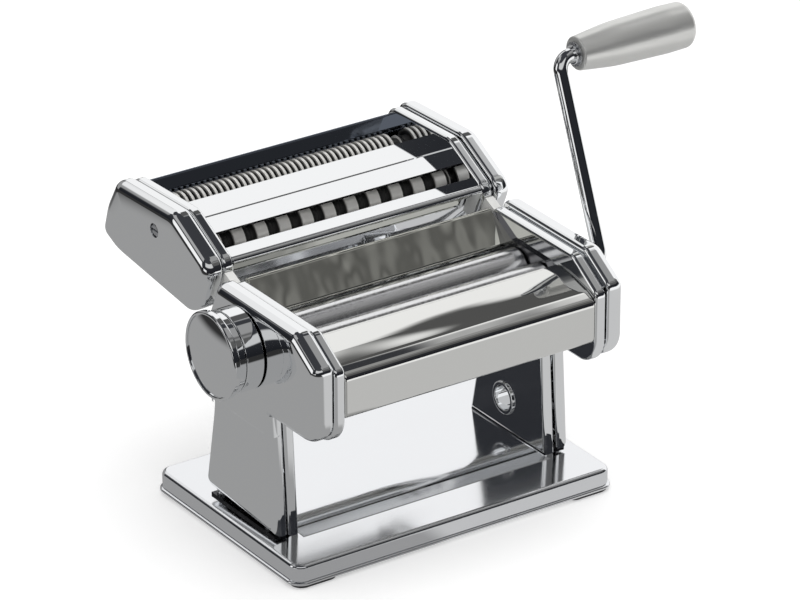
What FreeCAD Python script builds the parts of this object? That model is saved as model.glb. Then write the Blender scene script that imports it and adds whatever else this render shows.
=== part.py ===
import FreeCAD, Part
import math
import os

# Pasta machine with a lift-off cutter unit, in millimetres.
# X runs along the rollers with the crank at +X, -Y is the front and Z = 0 is the table.

VEC = FreeCAD.Vector

# Sheet metal and clearances
SHEET = 1.2
THIN = 1.0
RUN = 0.05
TINY = 0.1
SEAM = 1.0
LIP_REACH = 1.2
BOTH_SIDES = (-1, 1)

# Distances from the middle plane to the planes of each side
PLATE_X = 71.1
PLATE_OUT_X = PLATE_X + SHEET
RIM_X = 77.0
COVER_IN_X = RIM_X + SEAM
COVER_X = 87.6
LEG_COVER_X = 85.8
COVER_ROUND = 5.0
RIM_ROUND = 1.6
GUARD_X = 69.4
HOUSING_X = 70.9
ROLLER_X = 68.8
FRAME_INSET = 2.1
UNIT_INSET = 1.2

# Base tray on its rubber feet
BASE_HALF_X = 91.5
BASE_HALF_Y = 61.4
BASE_LOW = 2.0
BASE_TOP = 12.2
BASE_CORNER = 6.6
BASE_ROUND = 2.1
HEM = 1.2
FOOT_X = 78.8
FOOT_Y = 53.0
FOOT_LENGTH = 21.0
FOOT_WIDTH = 12.0
FOOT_CORNER = 4.0
FOOT_SCREW_Y = (-22.0, 20.0)
FOOT_SCREW_X = 79.5
FLANGE_END_X = 84.0
FLANGE_Y = (-31.0, 24.0)
SCREW_SHANK_R = 1.8
SCREW_HEAD_R = 3.4
SCREW_HEAD = 2.0
HEAD_ROOM = 0.4
FOOT_NUT = 2.4

# The cutter unit stands off the rear slope and slides along it
REAR_TOP = (12.5, 130.0)
SLOPE_RUN = 9.8
SLOPE_RISE = 22.5
SLOPE_LENGTH = math.hypot(SLOPE_RUN, SLOPE_RISE)
LIFT = (-SLOPE_RUN / SLOPE_LENGTH, SLOPE_RISE / SLOPE_LENGTH)
AWAY = (LIFT[1], -LIFT[0])
UNIT_GAP = 5.8


def along_slope(start, along, away):
    """Point (y, z) reached from a start by going up the rear slope and square off it."""
    return (start[0] + LIFT[0] * along + AWAY[0] * away,
            start[1] + LIFT[1] * along + AWAY[1] * away)


def slope_corner(along, away, radius):
    """Outline corner placed from the top of the rear slope."""
    return (*along_slope(REAR_TOP, along, away), radius)


# The legs taper evenly between the foot and the body of the machine
LEG_FOOT_Z = 16.5
LEG_TOE_Z = 13.8
LEG_KNEE_Y = 20.0
LEG_KNEE_Z = 64.0
LEG_TOP_Z = 94.5
STEP_Z = 65.0
BODY_LOW = 77.4


def leg_front(z):
    """Front edge of the legs at a height."""
    return -33.4 + 0.068 * (z - LEG_FOOT_Z)


# Side outlines as (y, z, corner radius)
BODY_UPPER = [slope_corner(0, 0, 5.6), (-54.0, 130.0, 9.0), (-73.5, 117.8, 5.6),
              (-73.5, BODY_LOW, 13.0), (leg_front(BODY_LOW), BODY_LOW, 2.0)]
LEG_LOWER = [(leg_front(LEG_TOE_Z), LEG_TOE_Z, 0), (28.5, LEG_FOOT_Z, 5.6),
             (LEG_KNEE_Y, LEG_KNEE_Z, 60.0)]
BODY_REAR = slope_corner(-SLOPE_LENGTH, 0, 9.0)
COVER_OUTLINE = [*BODY_UPPER, *LEG_LOWER, BODY_REAR]
LEG_TOP_SHARE = (LEG_TOP_Z - LEG_KNEE_Z) / (BODY_REAR[1] - LEG_KNEE_Z)
LEG_TOP_Y = LEG_KNEE_Y + LEG_TOP_SHARE * (BODY_REAR[0] - LEG_KNEE_Y)
LEG_OUTLINE = [(leg_front(LEG_TOP_Z), LEG_TOP_Z, 0), *LEG_LOWER, (LEG_TOP_Y, LEG_TOP_Z, 0)]
FRAME_OUTLINE = [slope_corner(-1.7, -FRAME_INSET, 2.0), (-53.2, 127.6, 8.0), (-73.2, 114.9, 5.0),
                 (-73.2, 75.5, 14.0), (-28.7, 75.5, 2.0), (-33.0, BASE_TOP, 0),
                 (30.4, BASE_TOP, 0), (19.2, 64.0, 60.0), slope_corner(-24.2, -FRAME_INSET, 7.0)]
UNIT_OUTLINE = [slope_corner(1.6, UNIT_GAP, 9.0), (50.0, 151.0, 16.0), (101.6, 149.0, 8.0),
                (111.0, 133.0, 24.0), (115.9, 116.8, 6.0), (102.0, 111.0, 30.0),
                (37.5, 104.0, 8.0), slope_corner(-24.1, UNIT_GAP, 5.6)]
HOUSING_OUTLINE = [(-39.4, 118.7, 2.4), (-49.8, 118.5, 30.0), (-66.6, 114.4, 8.0),
                   (-72.8, 111.2, 5.2), (-72.8, 88.2, 4.5), (-56.0, 88.2, 2.0),
                   (-56.0, 98.0, 4.0), (-41.6, 112.0, 3.0)]
HOUSING_BACK = [(-62.0, 91.0, 0), (-50.0, 91.0, 0), (-36.0, 108.0, 0), (-36.0, 114.6, 0),
                (-62.0, 108.0, 0)]
GUARD_OUTLINE = [(10.3, 126.4, 1.0), (-5.6, 118.0, 3.0), (-34.2, 117.6, 1.5), (-38.0, 113.0, 3.0),
                 (-42.0, 104.0, 5.0), (-42.0, 86.0, 3.0), (3.0, 86.0, 3.0), (3.0, 96.0, 3.0),
                 (16.6, 109.4, 1.0)]
BRIDGE_OUTLINE = [(-56.0, 114.0, 5.0), (-56.0, 98.0, 5.0), (9.0, 94.0, 5.0), (9.0, 106.0, 5.0),
                  (-14.0, 125.5, 5.0), (-30.0, 125.5, 5.0)]

# Bent sheets as paths (y, z, corner radius) along one face
REAR_HOUSING_PATH = [(6.0, 94.0, 0), (6.0, 86.0, 2.0), (17.8, 86.0, 3.0), (19.0, 107.6, 0)]
HOPPER_PATH = [(18.6, 109.6, 0), (13.4, 129.4, 2.0), (-1.6, 113.9, 1.4), (-0.4, 112.0, 0)]
FRONT_PLATE_AWAY = 8.9
FRONT_PLATE_PATH = [(36.0, 131.8, 0), (35.4, 134.3, 2.4), slope_corner(1.4, FRONT_PLATE_AWAY, 2.6),
                    slope_corner(-21.5, FRONT_PLATE_AWAY, 3.0), (38.0, 106.8, 0)]
REAR_PLATE_PATH = [(109.4, 117.6, 0), (112.0, 120.2, 3.0), (107.6, 133.4, 12.0),
                   (102.2, 145.3, 1.4), (97.6, 138.0, 0.8), (98.2, 136.4, 0)]
CREASE_Y = 60.3
CREASE_Z = 138.7
ROOF_PATH = [(80.3, 138.2, 0), (CREASE_Y + 0.7, CREASE_Z, 0), (CREASE_Y, CREASE_Z - 0.9, 0),
             (CREASE_Y - 0.7, CREASE_Z, 0), (45.3, 137.4, 0)]

# Cross rods that tie the side plates together, with a nut at each end
TIE_SPOTS = ((-62.0, 97.0), (-47.5, 92.6), (11.0, 96.0))
TIE_R = 2.5
NUT_R = 4.2
NUT_LENGTH = 2.2
UNIT_TIE_SPOTS = ((67.0, 126.0), (104.0, 119.8), (28.0, 127.0))
UNIT_TIE_R = 2.0
UNIT_NUT_R = 3.4

# Smooth rollers, with the front one driven and the rear one on the thickness adjuster
ROLLER_R = 10.0
FRONT_Y = -32.4
ROLLER_Z = 106.0
GAP_CLOSED = 0.5
OFFSET = 1.25
REAR_Y = FRONT_Y + 2 * ROLLER_R + GAP_CLOSED
KNOB_Y = REAR_Y + OFFSET
NECK_R = 6.5
NECK_END = 85.4
NECK_SWING_R = NECK_R + OFFSET + 0.5
BUSH_R = 8.45
BUSH_FLANGE_R = 9.8
BUSH_FLANGE = 1.8
JOURNAL_R = 6.0
CORE_R = 4.3
ROLLER_BORE = 5.1
TAIL_R = 3.0

# Gears beside the right plate
GEAR_IN = 76.0
GEAR_OUT = 81.6
MAIN_TEETH = 10
MAIN_GEAR = (8.3, 11.8, 2.8, 1.0)
UNIT_TEETH = 14
UNIT_GEAR = (6.2, 8.4, 1.7, 0.7)
BRIDGE_IN = 82.4
BRIDGE_OUT = 84.0
BRIDGE_SPOTS = ((-51.0, 106.0), (-21.5, 120.8), (4.6, 98.6))
POST_R = 2.8
RIVET_R = 1.6

# Scraper blades under the smooth rollers
SCRAPER_LOW = 87.0
SCRAPER_FLANGE = 7.0
FRONT_SCRAPER = (-28.6, 95.8)
REAR_SCRAPER = (-15.7, 96.1)

# Drive sockets and crank
SOCKET_R = 3.6
SOCKET_DEPTH = 24.0
SLOT_HALF = 1.7
SLOT_DEPTH = 3.4
COLLAR_R = 7.0
COLLAR_SLEEVE_R = 8.5
COLLAR_FLANGE_R = 10.5
COLLAR_OUT = 89.6
ROD_R = 3.5
ROD_START = 62.5
PIN_R = 1.5
PIN_HALF = 6.1
PIN_X = 83.7
ARM_X = 104.0
ARM_BEND = 7.0
GRIP_Y = 5.8
GRIP_Z = 200.0
GRIP_START = 114.5
GRIP_END = 179.6
GRIP_BORE_END = 173.2

# Thickness knob on the left
KNOB_FACE = -107.0
KNOB_RIM_R = 21.8
KNOB_RIM_BACK = -102.6
KNOB_BODY_R = 18.5
KNOB_BACK = -98.0
INDEX_FACE = -97.6
INDEX_R = 20.5
SHAFT_R = 5.0
SHAFT_END = -103.4
DETENT_R = 14.0
GROOVE_DEPTH = 2.6
POSITIONS = 10
POSITION_STEP = 20.0
INDEX_SCREW_ANGLES = (45, 90, 135)
INDEX_SCREW_R = 1.2
INDEX_SCREW_HOLE_R = 1.25
INDEX_HEAD_R = 2.2
INDEX_HEAD = 1.6

# Cutter rollers: ribs pass between the ribs of the facing roller
CUTTER_RIB_R = 8.8
CUTTER_CORE_R = 5.6
CUTTER_NECK_R = 5.2
WIDE_PITCH = 12.9
WIDE_RIB = 6.2
FINE_PITCH = 3.3
FINE_RIB = 1.35
WIDE_FRONT = (40.5, 120.4)
WIDE_REAR = (54.5, 126.0)
FINE_FRONT = (80.4, 122.6)
FINE_REAR = (94.5, 128.0)
UNIT_AXES = (WIDE_FRONT, WIDE_REAR, FINE_FRONT, FINE_REAR)
UNIT_SOCKETS = (WIDE_FRONT, FINE_FRONT)
UNIT_BUSH_R = 6.6
UNIT_SCREW = (65.8, 136.3)
GROOVE_RING = 0.35
GROOVE_RING_PITCH = 2.0

# Combs that lift the strips out of the grooves
COMB_THICKNESS = 1.2
COMB_OFFSET = 4.0
WIDE_COMB_LOW = (107.6, 108.6)
FINE_COMB_LOW = (111.8, 112.6)

# Slide between the machine and the cutter unit
RAIL_X = (73.6, 76.4)
RAIL_START = slope_corner(-24.2, -FRAME_INSET, 0)
RAIL_FROM = 1.0
RAIL_TO = 17.0
RAIL_HEIGHT = 6.4
CHANNEL_WALL = 1.1
CHANNEL_CLEAR = 0.9
CHANNEL_TOP = 3.0

# Eyelet for the table clamp, in the right leg
EYELET_Y = 1.6
EYELET_Z = 29.3
EYELET_R = 6.3
EYELET_SLEEVE_R = 7.3
EYELET_FLANGE_R = 8.6
EYELET_IN_X = PLATE_X - 1.0
EYELET_OUT_X = LEG_COVER_X + 0.8


def side_point(x):
    """Places outline points (y, z) in the upright plane at x."""
    return lambda u, v: VEC(x, u, v)


def front_point(y):
    """Places outline points (x, z) in the upright plane at y."""
    return lambda u, v: VEC(u, y, v)


def plan_point(z):
    """Places outline points (x, y) in the level plane at z."""
    return lambda u, v: VEC(u, v, z)


def unit(start, end):
    run = end[0] - start[0]
    rise = end[1] - start[1]
    length = math.hypot(run, rise)
    return run / length, rise / length


def corner(before, here, after):
    """Start, middle and end of the arc that rounds one corner."""
    a = unit(before, here)
    b = unit(here, after)
    cross = a[0] * b[1] - a[1] * b[0]
    dot = a[0] * b[0] + a[1] * b[1]
    turn = math.atan2(cross, dot)
    radius = here[2]
    if radius <= 0 or abs(turn) < math.radians(0.5):
        return [here[:2]]
    reach = radius * math.tan(abs(turn) / 2)
    start = (here[0] - a[0] * reach, here[1] - a[1] * reach)
    end = (here[0] + b[0] * reach, here[1] + b[1] * reach)
    bisector = unit((0, 0), (b[0] - a[0], b[1] - a[1]))
    depth = radius / math.cos(turn / 2) - radius
    middle = (here[0] + bisector[0] * depth, here[1] + bisector[1] * depth)
    return [start, middle, end]


def outline_wire(points, place):
    """Closed wire through rounded corners, each (u, v, radius)."""
    corners = []
    for index, here in enumerate(points):
        after = points[(index + 1) % len(points)]
        corners.append(corner(points[index - 1], here, after))
    edges = []
    for index, arc in enumerate(corners):
        if len(arc) == 3:
            edges.append(Part.Arc(*[place(*point) for point in arc]).toShape())
        start = place(*arc[-1])
        end = place(*corners[(index + 1) % len(corners)][0])
        if start.distanceToPoint(end) > 1e-4:
            edges.append(Part.makeLine(start, end))
    return Part.Wire(edges)


def shifted(points, distance, closed=True):
    """Moves every side of an outline or path to its left; arcs keep their centres."""
    moved = []
    count = len(points)
    for index, here in enumerate(points):
        first = not closed and index == 0
        last = not closed and index == count - 1
        a = unit(here if first else points[index - 1], points[1] if first else here)
        b = unit(here, points[(index + 1) % count]) if not last else a
        normals = (-a[1] - b[1], a[0] + b[0])
        share = distance / (1 + a[0] * b[0] + a[1] * b[1])
        left_turn = a[0] * b[1] - a[1] * b[0] > 0
        radius = here[2] - distance if left_turn else here[2] + distance
        if here[2] == 0:
            radius = 0
        moved.append((here[0] + normals[0] * share, here[1] + normals[1] * share, max(radius, 0)))
    return moved


def inset(points, distance):
    """Draws an outline in towards its inside."""
    area = 0
    for index, here in enumerate(points):
        after = points[(index + 1) % len(points)]
        area += here[0] * after[1] - after[0] * here[1]
    return shifted(points, distance if area > 0 else -distance)


def strip(path, thickness):
    """Closed outline of a bent sheet: the path is one face, the other lies to its left."""
    return path + shifted(path, thickness, closed=False)[::-1]


def prism(points, place, travel):
    """Solid swept from an outline by a travel vector."""
    return Part.Face(outline_wire(points, place)).extrude(travel)


def slab(points, x_start, x_end):
    """Solid between two planes across X, from a (y, z) outline."""
    return prism(points, side_point(x_start), VEC(x_end - x_start, 0, 0))


def block(x_range, y_range, z_range):
    size = [high - low for low, high in (x_range, y_range, z_range)]
    return Part.makeBox(*size, VEC(x_range[0], y_range[0], z_range[0]))


def rod(x_start, x_end, radius, at):
    """Cylinder along X about the axis at (y, z)."""
    low, high = sorted((x_start, x_end))
    return Part.makeCylinder(radius, high - low, VEC(low, *at), VEC(1, 0, 0))


def tube(x_start, x_end, outer, inner, at):
    return rod(x_start, x_end, outer, at).cut(rod(x_start, x_end, inner, at))


def turned(profile, at):
    """Solid of revolution about an axis along X, from closed (x, r) points with corner radii."""
    points = [point if len(point) == 3 else (*point, 0) for point in profile]
    wire = outline_wire(points, lambda x, r: VEC(x, at[0], at[1] + r))
    return Part.Face(wire).revolve(VEC(0, *at), VEC(1, 0, 0), 360)


def joined(pieces):
    """Pieces welded into one solid."""
    result = pieces[0].fuse(pieces[1:]) if len(pieces) > 1 else pieces[0]
    return result.removeSplitter()


def group(pieces):
    """Separate solids that share one node."""
    return Part.makeCompound(pieces)


def without(shape, tools):
    return shape.cut(Part.makeCompound(tools))


def mirrored(shape):
    return shape.mirror(VEC(0, 0, 0), VEC(1, 0, 0))


def on_side(shape, side):
    """Keeps a right-hand shape or mirrors it to the left."""
    return shape if side > 0 else mirrored(shape)


def rounded_at_x(shape, x, radius):
    """Rounds every edge that lies in the plane at x."""
    edges = []
    for edge in shape.Edges:
        box = edge.BoundBox
        if abs(box.XMin - x) < 1e-3 and abs(box.XMax - x) < 1e-3:
            edges.append(edge)
    return shape.makeFillet(radius, edges)


def rounded_at_z(shape, z, radius):
    """Rounds every edge that lies in the level plane at z."""
    edges = []
    for edge in shape.Edges:
        box = edge.BoundBox
        if abs(box.ZMin - z) < 1e-3 and abs(box.ZMax - z) < 1e-3:
            edges.append(edge)
    return shape.makeFillet(radius, edges)


def rectangle(half_x, half_y, corner_radius):
    return [(-half_x, -half_y, corner_radius), (half_x, -half_y, corner_radius),
            (half_x, half_y, corner_radius), (-half_x, half_y, corner_radius)]


# Base

def base_plate():
    top = prism(rectangle(BASE_HALF_X, BASE_HALF_Y, BASE_CORNER), plan_point(BASE_LOW),
                VEC(0, 0, BASE_TOP - BASE_LOW))
    top = rounded_at_z(top, BASE_TOP, BASE_ROUND)
    hem = prism(rectangle(BASE_HALF_X + HEM, BASE_HALF_Y + HEM, BASE_CORNER + HEM),
                plan_point(BASE_LOW), VEC(0, 0, HEM))
    hollow = prism(rectangle(BASE_HALF_X - SHEET, BASE_HALF_Y - SHEET, BASE_CORNER - SHEET),
                   plan_point(BASE_LOW - 1), VEC(0, 0, BASE_TOP - SHEET - BASE_LOW + 1))
    hollow = rounded_at_z(hollow, BASE_TOP - SHEET, BASE_ROUND - SHEET)
    holes = []
    for side in BOTH_SIDES:
        for y in FOOT_SCREW_Y:
            spot = VEC(side * FOOT_SCREW_X, y, BASE_LOW)
            holes.append(Part.makeCylinder(SCREW_SHANK_R + RUN, BASE_TOP, spot))
    return without(joined([top, hem]), [hollow] + holes)


def rubber_feet():
    pads = []
    for side in BOTH_SIDES:
        for end in BOTH_SIDES:
            pad = prism(rectangle(FOOT_LENGTH / 2, FOOT_WIDTH / 2, FOOT_CORNER), plan_point(0),
                        VEC(0, 0, BASE_TOP - SHEET))
            pad.translate(VEC(side * FOOT_X, end * FOOT_Y, 0))
            pads.append(pad)
    return group(pads)


def foot_screws():
    """Screws down through the frame flanges and the tray, each with its nut."""
    flange_top = BASE_TOP + SHEET
    nut_low = BASE_TOP - SHEET - FOOT_NUT
    pieces = []
    for side in BOTH_SIDES:
        for y in FOOT_SCREW_Y:
            low = VEC(side * FOOT_SCREW_X, y, nut_low)
            shank = Part.makeCylinder(SCREW_SHANK_R, flange_top - nut_low, low)
            nut = Part.makeCylinder(SCREW_HEAD_R, FOOT_NUT, low)
            head = Part.makeCylinder(SCREW_HEAD_R, SCREW_HEAD, VEC(side * FOOT_SCREW_X, y, flange_top))
            head = rounded_at_z(head, flange_top + SCREW_HEAD, 1.2)
            pieces.append(joined([head, shank, nut]))
    return group(pieces)


# Side plates with rims, and their deep drawn covers

def rimmed_plate(outline, holes):
    """Right-hand cup: a flat plate whose edge turns outward as a rim."""
    outer = rounded_at_x(slab(outline, PLATE_X, RIM_X), PLATE_X, RIM_ROUND)
    inner = slab(inset(outline, SHEET), PLATE_OUT_X, RIM_X + 1)
    return without(outer, [inner] + holes)


def inner_lip(cover_outline, plate_outline):
    """Right-hand lip that joins a cover's edge and reaches inside the rim."""
    inner = slab(inset(plate_outline, 2 * SHEET), RIM_X - 3, COVER_X)
    web = slab(cover_outline, COVER_IN_X, COVER_IN_X + THIN).cut(inner)
    neck = slab(inset(plate_outline, SHEET + TINY), RIM_X - LIP_REACH, COVER_IN_X + TINY)
    neck = neck.common(slab(inset(cover_outline, TINY), RIM_X - 3, COVER_X)).cut(inner)
    return [web, neck]


def side_frame(side):
    holes = [rod(PLATE_X - 1, PLATE_OUT_X + 1, TIE_R + RUN, at) for at in TIE_SPOTS]
    front_hole = BUSH_R + RUN
    rear_hole = front_hole if side < 0 else NECK_SWING_R
    holes.append(rod(PLATE_X - 1, PLATE_OUT_X + 1, front_hole, (FRONT_Y, ROLLER_Z)))
    holes.append(rod(PLATE_X - 1, PLATE_OUT_X + 1, rear_hole, (KNOB_Y, ROLLER_Z)))
    if side > 0:
        holes.append(rod(PLATE_X - 1, PLATE_OUT_X + 1, EYELET_SLEEVE_R, (EYELET_Y, EYELET_Z)))
    plate = rimmed_plate(FRAME_OUTLINE, holes)
    flange = block((PLATE_OUT_X - TINY, FLANGE_END_X), FLANGE_Y, (BASE_TOP, BASE_TOP + SHEET))
    plate = joined([plate, flange])
    screw_holes = [Part.makeCylinder(SCREW_SHANK_R + RUN, 4, VEC(FOOT_SCREW_X, y, BASE_TOP - 1))
                   for y in FOOT_SCREW_Y]
    return on_side(without(plate, screw_holes), side)


def cover_block(wall):
    """Outside of the side cover, or its hollow when a wall is taken off all round."""
    inner_x = COVER_IN_X - wall
    below_step = block((inner_x, COVER_X), (-BASE_HALF_X, BASE_HALF_X), (0, STEP_Z + wall))
    body = slab(inset(COVER_OUTLINE, wall), inner_x, COVER_X - wall).cut(below_step)
    body = rounded_at_x(body, COVER_X - wall, COVER_ROUND - wall)
    leg = slab(inset(LEG_OUTLINE, wall), inner_x, LEG_COVER_X - wall)
    leg = rounded_at_x(leg, LEG_COVER_X - wall, COVER_ROUND - wall)
    return joined([body, leg])


def side_cover(side):
    """Shell open towards the frame, with room in its low toe for the front screw's head."""
    shell = cover_block(0).cut(cover_block(SHEET))
    shell = joined([shell] + inner_lip(COVER_OUTLINE, FRAME_OUTLINE))
    openings = [Part.makeCylinder(SCREW_HEAD_R + HEAD_ROOM, SHEET + SCREW_HEAD + HEAD_ROOM,
                                  VEC(FOOT_SCREW_X, FOOT_SCREW_Y[0], BASE_TOP))]
    if side > 0:
        openings += [rod(COVER_X - 8, COVER_X + 1, COLLAR_SLEEVE_R, (FRONT_Y, ROLLER_Z)),
                     rod(COVER_X - 8, COVER_X, EYELET_SLEEVE_R, (EYELET_Y, EYELET_Z))]
        return without(shell, openings)
    openings += [rod(COVER_X - 8, COVER_X + 1, COLLAR_SLEEVE_R, (KNOB_Y, ROLLER_Z))]
    openings += [rod(COVER_X - 8, COVER_X + 1, INDEX_SCREW_HOLE_R, at) for at in index_screw_spots()]
    return mirrored(without(shell, openings))


def clamp_eyelet():
    """Tube through the right leg, rolled over inside the plate and outside the cover."""
    profile = [(EYELET_IN_X, EYELET_R, 0.4), (EYELET_OUT_X, EYELET_R, 0.4),
               (EYELET_OUT_X, EYELET_FLANGE_R, 0.4), (LEG_COVER_X, EYELET_FLANGE_R),
               (LEG_COVER_X, EYELET_SLEEVE_R), (PLATE_X, EYELET_SLEEVE_R),
               (PLATE_X, EYELET_FLANGE_R), (EYELET_IN_X, EYELET_FLANGE_R, 0.6)]
    return turned(profile, (EYELET_Y, EYELET_Z))


# Sheets between the side plates

def front_housing():
    """Deep drawn pan, open at the back, with walls beside the frames."""
    pan = slab(HOUSING_OUTLINE, -HOUSING_X, HOUSING_X)
    pan = rounded_at_x(rounded_at_x(pan, HOUSING_X, THIN), -HOUSING_X, THIN)
    inside = HOUSING_X - THIN
    hollow = slab(inset(HOUSING_OUTLINE, THIN), -inside, inside)
    back = slab(HOUSING_BACK, -inside, inside)
    rod_holes = [rod(-RIM_X, RIM_X, TIE_R + RUN, at) for at in TIE_SPOTS[:2]]
    return without(pan, [hollow, back] + rod_holes)


def rear_housing():
    return slab(strip(REAR_HOUSING_PATH, THIN), -PLATE_X, PLATE_X)


def hopper_plate():
    return slab(strip(HOPPER_PATH, THIN), -GUARD_X, GUARD_X)


def side_guard(side):
    front_hole = NECK_R + 0.4
    rear_hole = JOURNAL_R + 0.4 if side < 0 else NECK_SWING_R
    holes = [rod(GUARD_X - 1, PLATE_X + 1, front_hole, (FRONT_Y, ROLLER_Z)),
             rod(GUARD_X - 1, PLATE_X + 1, rear_hole, (KNOB_Y, ROLLER_Z))]
    plate = slab(GUARD_OUTLINE, GUARD_X, PLATE_X)
    return on_side(without(plate, holes), side)


def side_guards():
    return group([side_guard(side) for side in BOTH_SIDES])


def scraper(blade, turn):
    """Upright blade under a smooth roller, with a foot flange to the rear (1) or the front (-1)."""
    y, top = blade
    path = [(y, top, 0), (y, SCRAPER_LOW, 1.5), (y + turn * SCRAPER_FLANGE, SCRAPER_LOW, 0)]
    return slab(strip(path, turn * THIN), -GUARD_X, GUARD_X)


def tie_rods_at(spots, radius):
    return group([rod(-PLATE_OUT_X - NUT_LENGTH, PLATE_OUT_X + NUT_LENGTH, radius, at)
                  for at in spots])


def hexagon(at, radius):
    points = []
    for step in range(6):
        angle = math.radians(60 * step)
        points.append((at[0] + radius * math.cos(angle), at[1] + radius * math.sin(angle), 0))
    return points


def tie_nuts_at(spots, rod_radius, nut_radius):
    nuts = []
    for side in BOTH_SIDES:
        for at in spots:
            nut = slab(hexagon(at, nut_radius), PLATE_OUT_X, PLATE_OUT_X + NUT_LENGTH)
            nuts.append(on_side(nut.cut(rod(PLATE_X, RIM_X + 1, rod_radius, at)), side))
    return group(nuts)


# Smooth roller drive

def bush(side, at, bore, outer=BUSH_R, flange_r=BUSH_FLANGE_R):
    sleeve = rod(PLATE_X, PLATE_OUT_X + BUSH_FLANGE, outer, at)
    flange = rod(PLATE_OUT_X, PLATE_OUT_X + BUSH_FLANGE, flange_r, at)
    hole = rod(PLATE_X - 1, RIM_X + 1, bore, at)
    return on_side(joined([sleeve, flange]).cut(hole), side)


def front_bushes():
    return group([bush(side, (FRONT_Y, ROLLER_Z), NECK_R + RUN) for side in BOTH_SIDES])


def adjuster_bush():
    return bush(-1, (KNOB_Y, ROLLER_Z), JOURNAL_R + RUN)


def socket_cuts(at):
    """Blind drive bore with a cross slot at its mouth."""
    bore = rod(NECK_END - SOCKET_DEPTH, NECK_END + 1, SOCKET_R, at)
    slot = block((NECK_END - SLOT_DEPTH, NECK_END + 1), (at[0] - 12, at[0] + 12),
                 (at[1] - SLOT_HALF, at[1] + SLOT_HALF))
    return [bore, slot]


def front_roller():
    at = (FRONT_Y, ROLLER_Z)
    profile = [(-RIM_X + 1, 0), (-RIM_X + 1, NECK_R), (-ROLLER_X, NECK_R),
               (-ROLLER_X, ROLLER_R, 0.8), (ROLLER_X, ROLLER_R, 0.8), (ROLLER_X, NECK_R),
               (NECK_END, NECK_R), (NECK_END, 0)]
    return without(turned(profile, at), socket_cuts(at))


def rear_roller():
    at = (REAR_Y, ROLLER_Z)
    profile = [(-ROLLER_X, ROLLER_BORE), (-ROLLER_X, ROLLER_R, 0.8), (ROLLER_X, ROLLER_R, 0.8),
               (ROLLER_X, NECK_R), (GEAR_OUT + THIN / 2, NECK_R), (GEAR_OUT + THIN / 2, ROLLER_BORE)]
    return turned(profile, at)


def gear(at, teeth, sizes, phase, bore):
    """Spur gear from tapered teeth: root radius, tip radius, root width, tip width."""
    root_r, tip_r, root_width, tip_width = sizes
    corners = ((root_r, -root_width), (tip_r, -tip_width), (tip_r, tip_width), (root_r, root_width))
    points = []
    for tooth in range(teeth):
        centre = phase + 2 * math.pi * tooth / teeth
        for radius, width in corners:
            angle = centre + width / 2 / radius
            points.append((at[0] + radius * math.cos(angle), at[1] + radius * math.sin(angle), 0))
    return slab(points, GEAR_IN, GEAR_OUT).cut(rod(GEAR_IN - 1, GEAR_OUT + 1, bore, at))


def gear_pair(first, second, teeth, sizes, bore):
    """Two meshed gears: a tooth of the first points at a gap of the second."""
    phase = math.atan2(second[1] - first[1], second[0] - first[0])
    return (gear(first, teeth, sizes, phase, bore),
            gear(second, teeth, sizes, phase + math.pi / teeth, bore))


def gear_bridge():
    """Plate outside the main gears that carries the right end of the adjuster shaft."""
    holes = [rod(BRIDGE_IN - 1, BRIDGE_OUT + 1, TAIL_R + RUN, (KNOB_Y, ROLLER_Z)),
             rod(BRIDGE_IN - 1, BRIDGE_OUT + 1, COLLAR_R, (FRONT_Y, ROLLER_Z))]
    holes += [rod(BRIDGE_IN - 1, BRIDGE_OUT + 1, RIVET_R, at) for at in BRIDGE_SPOTS]
    return without(slab(BRIDGE_OUTLINE, BRIDGE_IN, BRIDGE_OUT), holes)


def bridge_posts():
    """Shouldered posts from the right plate to the bridge, riveted over outside it."""
    posts = []
    for at in BRIDGE_SPOTS:
        post = rod(PLATE_OUT_X, BRIDGE_IN, POST_R, at)
        pin = rod(BRIDGE_IN - TINY, BRIDGE_OUT + TINY, RIVET_R, at)
        head = rod(BRIDGE_OUT, BRIDGE_OUT + 1, RIVET_R + 1, at)
        posts.append(joined([post, pin, head]))
    return group(posts)


# Thickness adjuster

def adjuster_shaft():
    """Journals on the knob axis and an offset core that carries the rear roller."""
    axis = (KNOB_Y, ROLLER_Z)
    core = rod(-PLATE_X + 1, BRIDGE_IN - THIN / 4, CORE_R, (REAR_Y, ROLLER_Z))
    journal = rod(-PLATE_X + 2, -RIM_X, JOURNAL_R, axis)
    shaft = rod(-RIM_X + TINY, SHAFT_END, SHAFT_R, axis)
    tail = rod(BRIDGE_IN - 1, BRIDGE_OUT + 1, TAIL_R, axis)
    flat = block((SHAFT_END - 1, KNOB_BACK - 0.4), (KNOB_Y - 6, KNOB_Y + 6),
                 (ROLLER_Z + SHAFT_R - 1.2, ROLLER_Z + SHAFT_R + 1))
    return joined([core, journal, shaft, tail]).cut(flat)


def roller_bushes():
    """Free bushes between the offset core and the rear roller."""
    at = (REAR_Y, ROLLER_Z)
    left = tube(-ROLLER_X, -ROLLER_X + 9, ROLLER_BORE - RUN, CORE_R + RUN, at)
    right = tube(GEAR_OUT - 8, GEAR_OUT, ROLLER_BORE - RUN, CORE_R + RUN, at)
    return group([left, right])


def knob_at(angle, radius):
    """Point on a circle about the knob axis."""
    turn = math.radians(angle)
    return (KNOB_Y + radius * math.cos(turn), ROLLER_Z + radius * math.sin(turn))


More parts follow.
